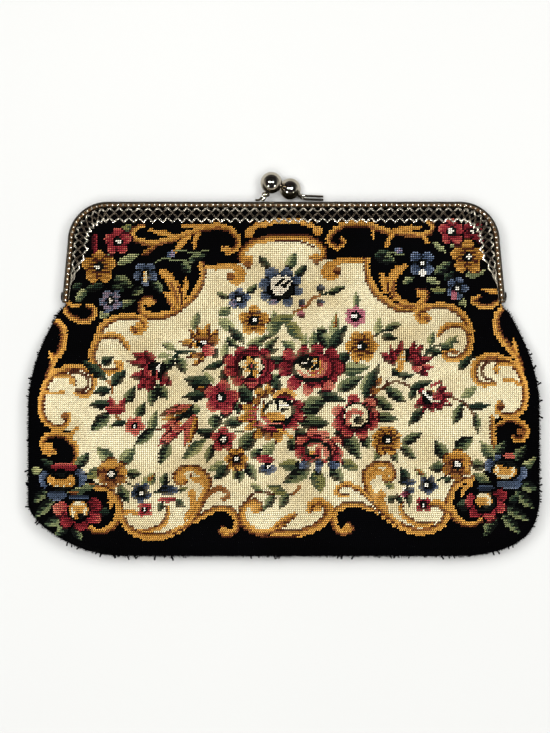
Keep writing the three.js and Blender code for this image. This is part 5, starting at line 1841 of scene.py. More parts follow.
@dataclass
class Tapestry:
    """The front of the bag: its canvas and the petit point on it.

    Attributes:
        pouch: The form that it covers.
        pitch: Size of a stitch's cell.
        height, sunk: How far a stitch stands over the canvas and reaches into it.
        ridge: Half length of a stitch's ridge, as a share of half its cell.
        corner_cut: How much of a cell's two open corners a stitch leaves free.
        skin: How far the canvas lies below the bag's form.
        edge_keep: Room left beside the seam.
        uneven, seed: How much the stitches differ in height and shade, and the seed of that.
        stretch_least, stretch_most: Limits of how long a stitch is worked on a slope.
        canvas_pale, canvas_dark: sRGB colours of the canvas under cream wool and under the others, partly its
        colour and partly painted shade in the gaps between stitches.
        canvas_columns: Quads across the canvas.
        fine_rows, fine_columns: Samples for measuring up and across the front.
        nudge: Step for finding which way the front faces.
        cell: For each field, how wide and long a stitch is against its cell.
    """

    pouch: Pouch
    pitch: float = 0.84
    height: float = 0.34
    sunk: float = 0.16
    ridge: float = 0.36
    corner_cut: float = 0.28
    skin: float = 0.3
    edge_keep: float = 0.25
    uneven: float = 0.08
    seed: int = 11
    stretch_least: float = 0.8
    stretch_most: float = 1.7
    canvas_pale: int = 0x746A4E
    canvas_dark: int = 0x040303
    canvas_columns: int = 120
    fine_rows: int = 2400
    fine_columns: int = 700
    nudge: float = 0.12
    cell: dict[Ground, Point] = field(default_factory=lambda: {
        Ground.BLACK: (1.3, 1.25), Ground.CREAM_LEFT: (0.95, 1.12), Ground.CREAM_RIGHT: (0.95, 1.12),
        Ground.SCROLLS: (1.08, 1.0), Ground.FLOWERS: (1.14, 0.86),
    })

    def points(self) -> dict[str, np.ndarray]:
        """Lay out the stitches in rows over the front wall.

        Returns:
            Arrays for across, up, line (the row's number) and step (how far one row is from the next).
        """
        top = ARCH.top_up - ARCH.sheet - GAP
        up = np.linspace(0.02, top, self.fine_rows)
        height = self.pouch.front(np.zeros_like(up), up, self.pouch.half_width(up), 0.0)
        arc = np.concatenate([[0], np.cumsum(np.hypot(np.diff(up), np.diff(height)))])
        lines = np.interp(np.arange(0.4 * self.pitch, arc[-1], self.pitch), arc, up)
        steps = np.gradient(lines)
        spread = np.sin(np.linspace(-np.pi / 2, np.pi / 2, self.fine_columns))
        found: dict[str, list[np.ndarray]] = {"across": [], "up": [], "line": [], "step": []}
        for number, (line, step) in enumerate(zip(lines, steps)):
            half = float(self.pouch.half_width(np.array(line)))
            across = half * spread
            height = self.pouch.front(across, np.full_like(across, line), np.array(half), 0.0)
            arc = np.concatenate([[0], np.cumsum(np.hypot(np.diff(across), np.diff(height)))])
            arc -= arc[-1] / 2
            count = int((arc[-1] - self.edge_keep) / self.pitch)
            row = np.interp(np.arange(-count, count + 1) * self.pitch, arc, across)
            found["across"].append(row)
            for key, value in (("up", line), ("line", number), ("step", step)):
                found[key].append(np.full(row.shape, value))
        return {key: np.concatenate(rows) for key, rows in found.items()}

    def surface(self, across: np.ndarray, up: np.ndarray) -> np.ndarray:
        """Give points of the canvas's outer face."""
        height = self.pouch.front(across, up, self.pouch.half_width(up), self.skin)
        return in_row_frame(across + self.pouch.lean(up), up, height)

    def stitch_object(self) -> Thing:
        """Build one slanted stitch: a ridge across its cell, with the other two corners left open.

        Returns:
            The stitch, over the origin.
        """
        half = self.pitch / 2
        cut = half - self.corner_cut
        ring = [(-half, -half), (cut, -half), (half, -cut), (half, half), (-cut, half), (-half, cut)]
        ridge = [(way * self.ridge * half, way * self.ridge * half) for way in (-1, 1)]
        vertices = [(x, y, -self.sunk) for x, y in ring] + [(x, y, self.height) for x, y in ridge]
        faces = [(0, 1, 6), (1, 2, 7, 6), (2, 3, 7), (3, 4, 7), (4, 5, 6, 7), (5, 0, 6), (5, 4, 3, 2, 1, 0)]
        obj = new_object("one_stitch", np.array(vertices), faces)
        obj.data.shade_smooth()
        return obj

    def build(self, wool: Finish, canvas: Finish) -> list[Thing]:
        """Build the canvas and all its stitches.

        Args:
            wool: Finish of the stitches.
            canvas: Finish of the canvas.

        Returns:
            The canvas, then the fields of stitches.
        """
        wall = self.pouch.wall_object("canvas_front", True, self.skin, self.canvas_columns)
        self.tint_and_gap_shade(wall.data)
        dress(wall, canvas, "tapestry", "bag_front")
        at = self.points()
        across, up = at["across"], at["up"]
        chart = Chart((across + self.pouch.lean(up)) / self.pitch, up / self.pitch, at["line"].astype(int))
        shade, colour = chart.work()
        draw = np.random.default_rng(self.seed)
        light = 1 + self.uneven * draw.standard_normal(len(colour))
        colour = np.clip(colour * light[:, None], 0, 1)
        place = self.surface(across, up)
        along = unit(self.surface(across + self.nudge, up) - self.surface(across - self.nudge, up))
        rise = self.surface(across, up + self.nudge) - self.surface(across, np.maximum(up - self.nudge, 0.0))
        facing = unit(np.cross(along, rise))
        stretch = np.linalg.norm(rise, axis=1) / (2 * self.nudge) * at["step"] / self.pitch
        stretch = np.clip(stretch, self.stretch_least, self.stretch_most)
        size = np.stack([np.ones_like(stretch), stretch, light], axis=-1)
        single = self.stitch_object()
        tree = stitch_tree()
        pieces = [wall]
        for ground, chosen in self.fields(chart, shade, across).items():
            size[chosen, :2] *= self.cell[ground]
            obj = new_object(ground.value, place[chosen])
            for name, values in (("facing", facing), ("along", along), ("size", size)):
                give_attribute(obj.data, name, "FLOAT_VECTOR", values[chosen])
            give_attribute(obj.data, "wool", "FLOAT_COLOR", np.insert(colour[chosen], 3, 1.0, axis=1))
            grow(obj, tree, Stitch=single, Wool=wool)
            for name in ("facing", "along", "size"):
                obj.data.attributes.remove(obj.data.attributes[name])
            obj.data.shade_smooth()
            pieces.append(dress(obj, wool, "tapestry"))
        bpy.data.objects.remove(single)
        return pieces

    def tint_and_gap_shade(self, mesh: bpy.types.Mesh) -> None:
        """Colour the canvas by the wools over it, partly its own colour and partly painted shade in the gaps.

        Args:
            mesh: The canvas's mesh.
        """
        across, up, _ = mesh_points(mesh)
        chart = Chart(across / self.pitch, up / self.pitch, np.zeros(len(up), dtype=int))
        shade, _ = chart.work()
        cream = chart.has(shade, Wool.CREAM)
        # Painted shade: near black under the other wools and a dull brown under cream, so the gaps between
        # stitches look shaded.
        colour = np.where(cream[:, None], linear(self.canvas_pale), linear(self.canvas_dark))
        give_attribute(mesh, "wool", "FLOAT_COLOR", np.insert(colour, 3, 1.0, axis=1))

    def fields(self, chart: Chart, shade: np.ndarray, across: np.ndarray) -> dict[Ground, np.ndarray]:
        """Sort the stitches into the fields that are worked as one piece each.

        Args:
            chart: The chart that was worked.
            shade: Number of each stitch's wool.
            across: Where each stitch lies.

        Returns:
            A mask for each field.
        """
        black = chart.has(shade, Wool.BLACK)
        cream = chart.has(shade, Wool.CREAM)
        gilt = chart.has(shade, Wool.GOLD, Wool.OCHRE, Wool.HONEY, Wool.BROWN, Wool.UMBER)
        return {
            Ground.BLACK: black,
            Ground.CREAM_LEFT: cream & (across < 0),
            Ground.CREAM_RIGHT: cream & (across >= 0),
            Ground.SCROLLS: gilt,
            Ground.FLOWERS: ~(black | cream | gilt),
        }


def bead_tree() -> Tree:
    """Build the tree that sets round beads along a path.

    Returns:
        A tree that takes their spacing, their radius and the metal.
    """
    tree = new_group("bead_row", "GeometryNodeTree",
                     {"Path": Role.SHAPE, "Spacing": Role.NUMBER, "Radius": Role.NUMBER,
                      "Metal": Role.FINISH},
                     {"Beads": Role.SHAPE})
    s = Sketch(tree)
    entry = s.node("NodeGroupInput")
    line = s.node("GeometryNodeMeshToCurve", {"Mesh": entry.outputs["Path"]})
    spaced = s.node("GeometryNodeResampleCurve",
                    {"Curve": line.outputs[0], "Length": entry.outputs["Spacing"]}, mode="LENGTH")
    bead = s.node("GeometryNodeMeshUVSphere",
                  {"Segments": 10, "Rings": 7, "Radius": entry.outputs["Radius"]})
    set_on = s.node("GeometryNodeInstanceOnPoints",
                    {"Points": spaced.outputs[0], "Instance": bead.outputs["Mesh"]})
    s.close(set_on.outputs["Instances"], entry.outputs["Metal"], "Beads")
    return tree


def wire_tree() -> Tree:
    """Build the tree that runs a round wire along a path.

    Returns:
        A tree that takes the wire's radius, its sides and the metal.
    """
    tree = new_group("wire", "GeometryNodeTree",
                     {"Path": Role.SHAPE, "Radius": Role.NUMBER, "Sides": Role.COUNT, "Metal": Role.FINISH},
                     {"Wire": Role.SHAPE})
    s = Sketch(tree)
    entry = s.node("NodeGroupInput")
    line = s.node("GeometryNodeMeshToCurve", {"Mesh": entry.outputs["Path"]})
    ring = s.node("GeometryNodeCurvePrimitiveCircle",
                  {"Resolution": entry.outputs["Sides"], "Radius": entry.outputs["Radius"]})
    tube = s.node("GeometryNodeCurveToMesh",
                  {"Curve": line.outputs[0], "Profile Curve": ring.outputs["Curve"], "Fill Caps": True})
    s.close(tube.outputs["Mesh"], entry.outputs["Metal"], "Wire")
    return tree


# Section of the mouth wall and the rail on it: distance inside the outer edge, height above the parting plane
RAIL_SECTION: Path = (
    (0.0, 0.15), (0.0, 5.0), (0.1, 5.7), (0.4, 6.2), (0.75, 6.35), (0.98, 6.2), (1.06, 5.85), (2.04, 5.85),
    (2.12, 6.15), (2.4, 6.35), (2.64, 6.2), (2.7, 5.8), (2.7, 4.8), (1.2, 4.8), (1.2, 0.15),
)


@dataclass
class Frame:
    """The metal frame: two halves of one pressing, riveted together at the hinges.

    Insets are distances inside the outer edge, and heights are above the parting plane.

    Attributes:
        net_pitch: Distance from one crossing of the net to the next.
        net_from, net_to, net_height: Insets that the net reaches between, and its height.
        net_wires, net_steps: How many wires it has, and the steps of each in one pitch.
        wire, wire_sides: Radius and sides of a wire.
        bead_spacing, bead, bead_inset, bead_height: The bead row's spacing, radius, inset and height.
        bead_keep, net_keep: How far the bead row and the net stay from the arms' ends.
        bead_steps: Points of the line that the beads are set along.
        arm_steps, bend_steps: Sections of the rail along an arm and round a corner.
        bead_bright, rim_bright, groove_bright, net_bright, arm_bright: How bright the plating is on the beads,
        the rim, the groove, the wires of the net, and where the net runs out along the arms; the low ones are
        tarnish, the bead tops, net points and arms partly wear and partly painted highlights.
    """

    net_pitch: float = 4.1
    net_from: float = 2.6
    net_to: float = 8.75
    net_height: float = 5.32
    net_wires: int = 3
    net_steps: int = 6
    wire: float = 0.43
    wire_sides: int = 8
    bead_spacing: float = 2.2
    bead: float = 0.56
    bead_inset: float = 1.55
    bead_height: float = 6.1
    bead_keep: float = 0.9
    net_keep: float = 0.5
    bead_steps: int = 900
    arm_steps: int = 9
    bend_steps: int = 29
    bead_bright: float = 0.8
    rim_bright: float = 0.05
    groove_bright: float = 0.005
    net_bright: float = 0.024
    arm_bright: float = 0.12

    def sweep(self, name: str) -> Thing:
        """Run the rail's section round the arch.

        Args:
            name: Name of the rail's object.

        Returns:
            The rail, closed at both ends.
        """
        arm = np.linspace(0, ARCH.arm, self.arm_steps)[:-1]
        bend = np.linspace(ARCH.arm, ARCH.arm + ARCH.bend, self.bend_steps)
        half = np.concatenate([arm, bend])
        stations = np.concatenate([half, ARCH.length - half[::-1]])
        points = np.stack([ARCH.line(stations, inset, height) for inset, height in RAIL_SECTION], axis=1)
        count, sides = points.shape[:2]
        order = np.arange(count * sides).reshape(count, sides)
        faces = quads(np.column_stack([order, order[:, 0]]))
        faces += [tuple(order[0].tolist()), tuple(order[-1, ::-1].tolist())]
        return new_object(name, points.reshape(-1, 3), faces)

    def net_path(self, phase: int) -> np.ndarray:
        """Follow one wire of the net as it runs to and fro across the border.

        Args:
            phase: Which of the net's wires it is.

        Returns:
            Its points.
        """
        count = round(ARCH.length / self.net_pitch)
        pitch = ARCH.length / count
        turn = self.net_wires / 2
        steps = np.arange(-turn * self.net_steps, (count + turn) * self.net_steps) / self.net_steps
        station = (steps + 0.5) * pitch
        inside = (station > self.net_keep) & (station < ARCH.length - self.net_keep)
        wave = np.abs((steps - phase + turn) % self.net_wires - turn) / turn
        share = ARCH.taper(ARCH.point(np.clip(station, 0, ARCH.length), 0.0)[:, 1])
        inset = self.net_from + (1 - wave) * (self.net_to - self.net_from) * share
        return ARCH.line(station[inside], inset[inside], self.net_height)

    def build_half(self, name: str, metal: Finish, trees: dict[str, Tree]) -> Thing:
        """Build the front half of the frame: rail, bead row and net.

        Args:
            name: Name of the piece.
            metal: Its finish.
            trees: The trees for beads and wires.

        Returns:
            The joined half.
        """
        rail = self.sweep("rail")
        stations = np.linspace(self.bead_keep, ARCH.length - self.bead_keep, self.bead_steps)
        row = path_object("beads", ARCH.line(stations, self.bead_inset, self.bead_height))
        grow(row, trees["bead"], Spacing=self.bead_spacing * MM, Radius=self.bead * MM, Metal=metal)
        parts = [rail, row]
        for phase in range(self.net_wires):
            wire = path_object(f"net_{phase}", self.net_path(phase))
            parts.append(grow(wire, trees["wire"], Radius=self.wire * MM, Sides=self.wire_sides, Metal=metal))
        half = join(name, parts)
        give_attribute(half.data, "rubbed", "FLOAT", self.rubbed(half.data))
        return half

    def rubbed(self, mesh: bpy.types.Mesh) -> np.ndarray:
        """Tell how bright the plating is: tarnish, with wear and painted highlights on bead tops and net
        points.

        Args:
            mesh: Mesh of the front half.

        Returns:
            A value from 0 to 1 for each vertex.
        """
        across, up, height = mesh_points(mesh)
        rise = height - PARTING
        inset, share = ARCH.inset(across, up), ARCH.taper(up)
        reach = (inset - self.net_from) / ((self.net_to - self.net_from) * np.maximum(share, 0.3))
        # Painted highlights, partly wear too: the net's points are painted bright along the tops of their
        # wires.
        ends = np.maximum(smooth((reach - 0.72) / 0.2), 0.4 * smooth((0.24 - reach) / 0.1))
        points = mix(self.net_bright, 1, ends * smooth((rise - 5.1) / 0.3))
        # Along the arms the net is painted a little brighter, partly wear and partly painted highlight.
        net = mix(self.arm_bright, points, smooth((share - 0.3) / 0.6))
        # Painted highlight, partly wear too: the top of each bead is painted bright.
        beads = self.bead_bright * smooth((rise - 6.0) / 0.3)
        on_beads = np.abs(inset - self.bead_inset) < 0.52
        on_rim, in_groove = inset < 1.05, inset < 2.75
        return np.select([on_beads, on_rim, in_groove], [beads, self.rim_bright, self.groove_bright], net)

    def build(self, metal: Finish, trees: dict[str, Tree]) -> list[Thing]:
        """Build both halves and the rivets.

        Args:
            metal: Their finish.
            trees: The trees for beads and wires.

        Returns:
            The front half, the back half and the two rivets.
        """
        front = self.build_half("frame_half_front", metal, trees)
        back = put_in_scene("frame_half_back", front.data.copy())
        turn = Matrix.Translation((0, 0, PARTING * MM)) @ Matrix.Rotation(math.pi, 4, "Y")
        back.data.transform(turn @ Matrix.Translation((0, 0, -PARTING * MM)))
        pieces = [dress(front, metal, "frame_metal", "frame_front")]
        pieces.append(dress(back, metal, "frame_metal", "frame_back"))
        for side, word in ((-1, "left"), (1, "right")):
            rivet = Rivet(side).build(f"rivet_{word}")
            pieces.append(dress(rivet, metal, "frame_metal", f"hinge_rivet_{word}"))
        return pieces


def lathe(name: str, profile: Path, axis: str, sides: int = 28) -> Thing:
    """Turn a profile round an axis through the origin.

    Args:
        name: Name of the object.
        profile: Distance along the axis and radius, from one end on the axis to the other.
        axis: "X" or "Z".
        sides: Steps round the axis.

    Returns:
        The closed object.
    """
    angles = np.linspace(0, math.tau, sides, endpoint=False)
    rings = []
    for along, radius in profile[1:-1]:
        ring = np.stack([np.full(sides, along), radius * np.cos(angles), radius * np.sin(angles)], axis=-1)
        rings.append(ring)
    ends = np.array([(profile[0][0], 0, 0), (profile[-1][0], 0, 0)], dtype=float)
    points = np.concatenate([*rings, ends])
    order = np.arange(len(rings) * sides).reshape(len(rings), sides)
    faces = quads(np.column_stack([order, order[:, 0]]))
    first, last = len(points) - 2, len(points) - 1
    for k in range(sides):
        faces.append((first, order[0, (k + 1) % sides], order[0, k]))
        faces.append((last, order[-1, k], order[-1, (k + 1) % sides]))
    if axis == "Z":
        points = points[:, [1, 2, 0]]
    return new_object(name, points, [tuple(int(i) for i in face) for face in faces])


@dataclass
class Rivet:
    """A hinge rivet with a low domed head outside the frame's arm.

    Attributes:
        side: 1 on the right and -1 on the left.
        up: Its height above the base.
        shank, head: Their radii.
        head_height, head_edge: Height of the head, and of the straight edge under its dome.
        head_under: Radius of the head's underside, as a share of the head's.
    """

    side: int
    up: float = 109.2
    shank: float = 1.0
    head: float = 2.0
    head_height: float = 0.8
    head_edge: float = 0.2
    head_under: float = 0.94

    def build(self, name: str) -> Thing:
        """Build the rivet where the solid one sits.

        Args:
            name: Name of the piece.

        Returns:
            The rivet.
        """
        along_arm = (self.up - ARCH.hinge_up) / ARCH.arm_run * ARCH.arm
        face = abs(ARCH.point(np.array(along_arm), 0.0)[0]) + GAP
        inner = face - ARCH.sheet - GAP
        rise = self.head_height - self.head_edge
        dome = tuple(
            (face + self.head_edge + rise * math.sin(t), self.head * math.cos(t) ** 0.8)
            for t in np.linspace(0, 0.9 * math.pi / 2, 6)
        )
        under = self.head * self.head_under
        profile = ((inner, 0), (inner, self.shank), (face, self.shank), (face, under), *dome,
                   (face + self.head_height, 0))
        obj = lathe(name, profile, "X")
        if self.side < 0:
            obj.data.transform(Matrix.Rotation(math.pi, 4, "Z"))
        obj.data.transform(Matrix.Translation((0, (self.up - MIDDLE_UP) * MM, PARTING * MM)))
        tidy_normals(obj)
        return obj


def tidy_normals(obj: Thing) -> None:
    """Merge doubles, point the faces outwards and shade them smooth.

    Args:
        obj: A turned object.
    """
    shape = bmesh.new()
    shape.from_mesh(obj.data)
    bmesh.ops.remove_doubles(shape, verts=shape.verts, dist=1e-7)
    bmesh.ops.recalc_face_normals(shape, faces=shape.faces)
    shape.to_mesh(obj.data)
    shape.free()
    obj.data.shade_smooth()
    obj.data.set_sharp_from_angle(angle=math.radians(TURNED_SHARP))


@dataclass
class ClaspHalf:
    """One half of the clasp: a polished ball on a stem, a collar of two small beads and two foot wires.

    Places are across the bag, "rise" above the frame's top edge and "lift" above the parting plane.
    """

    name: str
    node: str
    ball: Place
    radius: float
    collar: tuple[Place, Place]
    stem: tuple[Place, ...]
    feet: tuple[tuple[Place, ...], ...]
    bead: float = 1.05
    stem_radius: float = 0.8
    foot_radius: float = 0.5
    ball_rings: int = 24
    bead_rings: int = 12
    wire_steps: int = 5
    wire_sides: int = 10

    def place(self, at: Place) -> np.ndarray:
        """Give a point of the clasp in the row frame."""
        across, rise, lift = at
        return np.array([across, ARCH.top_up + rise - MIDDLE_UP, PARTING + lift])

    def sphere(self, name: str, at: Place, radius: float, rings: int) -> Thing:
        """Turn a ball.

        Args:
            name: Name of the object.
            at: Where its middle is.
            radius: Its radius.
            rings: Points of its profile, half as many as it has sides.

        Returns:
            The ball.
        """
        profile = tuple((-radius * math.cos(t), radius * math.sin(t)) for t in np.linspace(0, math.pi, rings))
        obj = lathe(name, profile, "Z", 2 * rings)
        obj.data.transform(Matrix.Translation(Vector(self.place(at)) * MM))
        return obj

    def build(self, metal: Finish, wire: Tree) -> Thing:
        """Build the half and dress it.

        Args:
            metal: Its finish.
            wire: The tree that makes a wire.

        Returns:
            The piece.
        """
        parts = [self.sphere("ball", self.ball, self.radius, self.ball_rings)]
        parts += [self.sphere("collar", at, self.bead, self.bead_rings) for at in self.collar]
        wires = [(self.stem_radius, self.stem)] + [(self.foot_radius, foot) for foot in self.feet]
        for radius, path in wires:
            points = np.stack([self.place(at) for at in path])
            line = path_object("wire", smooth_path(points, self.wire_steps))
            parts.append(grow(line, wire, Radius=radius * MM, Sides=self.wire_sides, Metal=metal))
        return dress(join(self.name, parts), metal, "clasp_metal", self.node)


CLASP_FRONT = ClaspHalf(
    "clasp_front", "clasp_ball_front", (-5.25, 8.2, 2.1), 4.65,
    collar=((-8.3, 3.2, 3.2), (-6.9, 3.1, 3.0)),
    stem=((-9.2, 0.6, 3.5), (-8.2, 2.0, 3.4), (-7.5, 3.4, 3.0), (-6.0, 7.0, 2.3)),
    feet=(((-8.6, 2.6, 3.4), (-9.4, 1.8, 3.5), (-10.5, 0.8, 3.5), (-12.0, 0.8, 3.5)),
          ((-7.4, 2.6, 3.0), (-7.9, 1.8, 3.2), (-8.5, 0.8, 3.3), (-9.4, 0.8, 3.3))),
)
CLASP_BACK = ClaspHalf(
    "clasp_back", "clasp_ball_back", (2.7, 5.9, -2.2), 4.6,
    collar=((5.4, 4.4, -2.4), (6.5, 3.4, -2.8)),
    stem=((7.9, 2.0, -3.5), (7.0, 3.0, -3.2), (5.9, 4.0, -2.9), (4.0, 5.2, -2.4)),
    feet=(((6.9, 3.4, -3.0), (8.6, 3.1, -3.4), (12.5, 3.0, -3.5), (16.8, 2.8, -3.5)),
          ((7.6, 2.4, -3.4), (9.2, 1.7, -3.5), (13.0, 1.5, -3.5), (16.8, 1.4, -3.5))),
)


def fray_tree() -> Tree:
    """Build the tree that lets a bent fibre stand out at every point.

    Returns:
        A tree that takes the fibres' length, thickness, spread and seed, and the wool.
    """
    tree = new_group("frayed_edge", "GeometryNodeTree",
                     {"Seam": Role.SHAPE, "Length": Role.NUMBER, "Thickness": Role.NUMBER,
                      "Spread": Role.NUMBER, "Seed": Role.COUNT, "Wool": Role.FINISH},
                     {"Fibres": Role.SHAPE})
    s = Sketch(tree)
    entry = s.node("NodeGroupInput")
    bow = s.node("GeometryNodeCurveQuadraticBezier",
                 {"Resolution": 4, "Start": (-0.15, 0, 0), "Middle": (0.6, 0.3, 0.3), "End": (1.0, 0.5, 0.1)})
    ring = s.node("GeometryNodeCurvePrimitiveCircle",
                  {"Resolution": 3, "Radius": entry.outputs["Thickness"]})
    fibre = s.node("GeometryNodeCurveToMesh",
                   {"Curve": bow.outputs[0], "Profile Curve": ring.outputs["Curve"], "Fill Caps": True})
    stray = s.node("FunctionNodeRandomValue",
                   {"Min": (-1, -1, -1), "Max": (1, 1, 1), "Seed": entry.outputs["Seed"]},
                   data_type="FLOAT_VECTOR")
    bent = s.node("ShaderNodeVectorMath", {0: stray.outputs[0], "Scale": entry.outputs["Spread"]},
                  operation="SCALE")
    aim = s.node("ShaderNodeVectorMath", {0: s.vector("outward"), 1: bent.outputs[0]}, operation="ADD")
    turn = s.node("FunctionNodeAxesToRotation",
                  {"Primary Axis": aim.outputs[0], "Secondary Axis": stray.outputs[0]},
                  primary_axis="X", secondary_axis="Z")
    share = s.node("FunctionNodeRandomValue", data_type="FLOAT")
    share.inputs[2].default_value = 0.3
    share.inputs[3].default_value = 1.0
    tree.links.new(entry.outputs["Seed"], share.inputs["Seed"])
    size = s.maths("MULTIPLY", share.outputs[1], entry.outputs["Length"])
    stood = s.node("GeometryNodeInstanceOnPoints", {
        "Points": entry.outputs["Seam"], "Instance": fibre.outputs["Mesh"],
        "Rotation": turn.outputs["Rotation"], "Scale": size})
    s.close(stood.outputs["Instances"], entry.outputs["Wool"], "Fibres")
    return tree


@dataclass
class Seam:
    """The worn seam round the pouch, where black fibres stand out and thread ends hang.

    Attributes:
        pouch: The form that it goes round.
        fibres, threads: How many of each there are.
        fibre_length, thread_length: Length of the longest.
        fibre_thickness, thread_thickness: Radius of the longest.
        fibre_spread, thread_spread: How far they stray from straight out.
        low, high: Heights that they start between, against the seam's.
        sunk: How deep they are rooted.
        seed: Seed of their scatter.
    """

    pouch: Pouch
    fibres: int = 5200
    fibre_length: float = 1.5
    fibre_thickness: float = 0.09
    fibre_spread: float = 0.9
    threads: int = 150
    thread_length: float = 2.5
    thread_thickness: float = 0.46
    thread_spread: float = 0.7
    low: float = -0.4
    high: float = 2.6
    sunk: float = 0.35
    seed: int = 5

    def line(self, count: int, draw: np.random.Generator) -> tuple[np.ndarray, np.ndarray]:
        """Scatter points along the seam.

        Args:
            count: How many.
            draw: Source of the scatter.

        Returns:
            The points, and where each one faces.
        """
        turn = self.pouch.corner_up
        fine = np.concatenate([np.linspace(0.0, turn, 200), np.linspace(turn, ARCH.hinge_up - 1, 200)[1:]])
        half = self.pouch.half_width(fine)
        side = np.stack([half, fine], axis=-1)
        outline = np.concatenate([side[::-1] * (-1, 1), side])
        run = np.concatenate([[0], np.cumsum(np.hypot(*np.diff(outline, axis=0).T))])
        spots = np.sort(draw.uniform(0, run[-1], count))
        across, up = (np.interp(spots, run, outline[:, k]) for k in (0, 1))
        step = 0.5
        ahead, behind = (
            np.stack([np.interp(spots + way, run, outline[:, k]) for k in (0, 1)], axis=-1)
            for way in (step, -step)
        )
        tangent = unit(ahead - behind + 1e-6)
        outward = np.stack([tangent[:, 1], -tangent[:, 0], np.zeros(count)], axis=-1)
        height = self.pouch.seam(up) + draw.uniform(self.low, self.high, count)
        return in_row_frame(across + self.pouch.lean(up), up, height) - outward * self.sunk, outward

    def build(self, wool: Finish) -> list[Thing]:
        """Build the fibres and the thread ends.

        Args:
            wool: Their finish.

        Returns:
            The two pieces.
        """
        draw = np.random.default_rng(self.seed)
        tree = fray_tree()
        pieces = []
        for name, count, length, thickness, spread in (
            ("seam_fibres", self.fibres, self.fibre_length, self.fibre_thickness, self.fibre_spread),
            ("seam_thread_ends", self.threads, self.thread_length, self.thread_thickness, self.thread_spread),
        ):
            points, outward = self.line(count, draw)
            obj = new_object(name, points)
            give_attribute(obj.data, "outward", "FLOAT_VECTOR", outward)
            grow(obj, tree, Length=length * MM, Thickness=thickness / length, Spread=spread, Seed=self.seed,
                 Wool=wool)
            obj.data.attributes.remove(obj.data.attributes["outward"])
            obj.data.shade_smooth()
            pieces.append(dress(obj, wool, "black_cloth"))
        return pieces


class Lamp(NamedTuple):
    """A round lamp that looks at the bag, in metres and watts.

    "sparkle" says that it shows in the metal alone; a lamp without it lights the cloth.
    """

    name: str
    place: Place
    size: float
    watts: float
    sparkle: bool


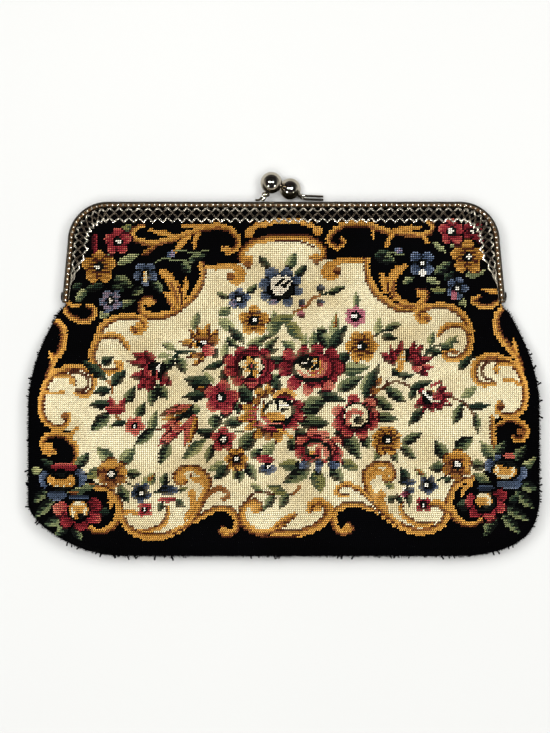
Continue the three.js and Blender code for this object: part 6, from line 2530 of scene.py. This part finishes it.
@dataclass
class Studio:
    """Pale floor, soft lights and the camera.

    Attributes:
        floor_reach: Half the floor's width, in metres.
        floor_colour, floor_grain: The two sRGB colours of the floor.
        wall_near, wall_far, overhead: Linear light of the room low down, past the bag's top, and above.
        room_light: Strength of the room.
        distance: Distance of the camera from its target, in metres.
        elevation: Its angle over the floor, in degrees.
        target: What it looks at.
        view_height: Height of what it sees there.
        lamps: The lamps.
    """

    floor_reach: float = 3.0
    floor_colour: int = 0xA2A2A0
    floor_grain: int = 0x9C9C9A
    wall_near: tuple[float, ...] = (1.0, 0.99, 0.96, 1)
    wall_far: tuple[float, ...] = (0.12, 0.12, 0.13, 1)
    overhead: tuple[float, ...] = (0.04, 0.04, 0.045, 1)
    room_light: float = 0.9
    distance: float = 1.2
    elevation: float = 89.0
    target: Place = (-3.7, -1.7, 14.0)
    view_height: float = 307.9
    lamps: tuple[Lamp, ...] = (
        Lamp("overhead", (0.0, 0.1, 1.6), 1.5, 75.0, False),
        Lamp("key_left", (-0.34, 0.12, 1.15), 0.16, 34.0, True),
        Lamp("key_right", (0.34, 0.12, 1.15), 0.16, 34.0, True),
        Lamp("low_left", (-0.6, -0.6, 0.65), 0.08, 3.0, True),
        Lamp("low_right", (0.6, -0.6, 0.65), 0.08, 3.0, True),
    )

    def floor(self) -> None:
        """Lay the floor."""
        reach = self.floor_reach / MM
        under = -0.1
        corners = [(x * reach, y * reach, under) for x, y in ((-1, -1), (1, -1), (1, 1), (-1, 1))]
        obj = new_object("floor", np.array(corners), [(0, 1, 2, 3)])
        material, s, shader = new_material("floor_paper")
        grain = s.noise(s.node("ShaderNodeTexCoord").outputs["Object"], 3.0)
        colour = s.blend(grain, rgba(self.floor_colour), rgba(self.floor_grain))
        material.node_tree.links.new(colour, shader.inputs["Base Color"])
        shader.inputs["Roughness"].default_value = 0.8
        obj.data.materials.append(material)

    def light(self, lamp: Lamp) -> None:
        """Hang one lamp.

        Args:
            lamp: The lamp.
        """
        data = bpy.data.lights.new(lamp.name, "AREA")
        data.shape = "DISK"
        data.size = lamp.size
        data.energy = lamp.watts
        obj = put_in_scene(lamp.name, data)
        obj.location = lamp.place
        obj.rotation_euler = (-Vector(lamp.place)).to_track_quat("-Z", "Y").to_euler()
        obj.visible_glossy = lamp.sparkle
        obj.visible_diffuse = not lamp.sparkle

    def world(self) -> None:
        """Make the room: bright low down all round, dark overhead."""
        world = bpy.data.worlds.new("studio")
        bpy.context.scene.world = world
        world.use_nodes = True
        s = Sketch(world.node_tree)
        way = s.node("ShaderNodeSeparateXYZ", {0: s.node("ShaderNodeTexCoord").outputs["Generated"]})
        walls = s.blend(s.ramp(way.outputs["Y"], -0.3, 0.75), self.wall_near, self.wall_far)
        colour = s.blend(s.ramp(way.outputs["Z"], 0.2, 0.55), walls, self.overhead)
        background = world.node_tree.nodes["Background"]
        world.node_tree.links.new(colour, background.inputs["Color"])
        background.inputs["Strength"].default_value = self.room_light

    def camera(self) -> None:
        """Set up the camera over the bag."""
        data = bpy.data.cameras.new("camera")
        data.sensor_width = 36.0
        data.lens = data.sensor_width * self.distance / (self.view_height * MM)
        obj = put_in_scene("camera", data)
        rise = math.radians(self.elevation)
        back = Vector((0, -math.cos(rise), math.sin(rise)))
        obj.location = Vector(self.target) * MM + back * self.distance
        obj.rotation_euler = (-back).to_track_quat("-Z", "Y").to_euler()
        bpy.context.scene.camera = obj

    def build(self) -> None:
        """Build the whole studio."""
        self.floor()
        self.world()
        for lamp in self.lamps:
            self.light(lamp)
        self.camera()
        bpy.context.scene.view_settings.view_transform = "Standard"


WOOL = ClothFinish("petit_point_wool", 0xE6DECF, attribute="wool", bump=0.3)
CANVAS = ClothFinish("dark_canvas", 0xC8C0B4, attribute="wool", thread=0.84, bump=0.6)
BLACK_CLOTH = ClothFinish("black_wool_cloth", 0xC8C0B4, 0x09090A, thread=0.5, bump=0.7, shine=0.12)
BLACK_FIBRE = ClothFinish("black_wool_fibre", 0xD0C8C0, 0x050506, bump=0.1)
# The frame's bright colour is partly bare metal and partly painted highlight, where its attribute says.
FRAME_METAL = MetalFinish("antique_gilt", 0xF4EAD4, 0x1A1108, smooth=0.21, dull=0.15, spots=420.0,
                          relief=0.35, attribute="rubbed")
CLASP_METAL = MetalFinish("polished_gilt", 0xB4AC9C, 0x786C56, smooth=0.04, dull=0.1, spots=120.0,
                          relief=0.02)


def main() -> None:
    """Build the clutch, then the studio round it."""
    logging.basicConfig(level=logging.INFO, format="%(name)s: %(message)s")
    wear, tarnish = wear_group(), tarnish_group()
    gilt, polished = FRAME_METAL.build(tarnish), CLASP_METAL.build(tarnish)
    black, fibre = BLACK_CLOTH.build(wear), BLACK_FIBRE.build(wear)
    trees = {"bead": bead_tree(), "wire": wire_tree()}
    pouch = Pouch()
    canvas, *stitches = Tapestry(pouch).build(WOOL.build(wear), CANVAS.build(wear))
    back = dress(pouch.wall_object("cloth_back", False, 0.0), black, "black_cloth", "bag_back")
    front_half, back_half, *_ = Frame().build(gilt, trees)
    for half in (CLASP_FRONT, CLASP_BACK):
        half.build(polished, trees["wire"])
    Seam(pouch).build(fibre)
    Studio().build()


if __name__ == "__main__":
    main()
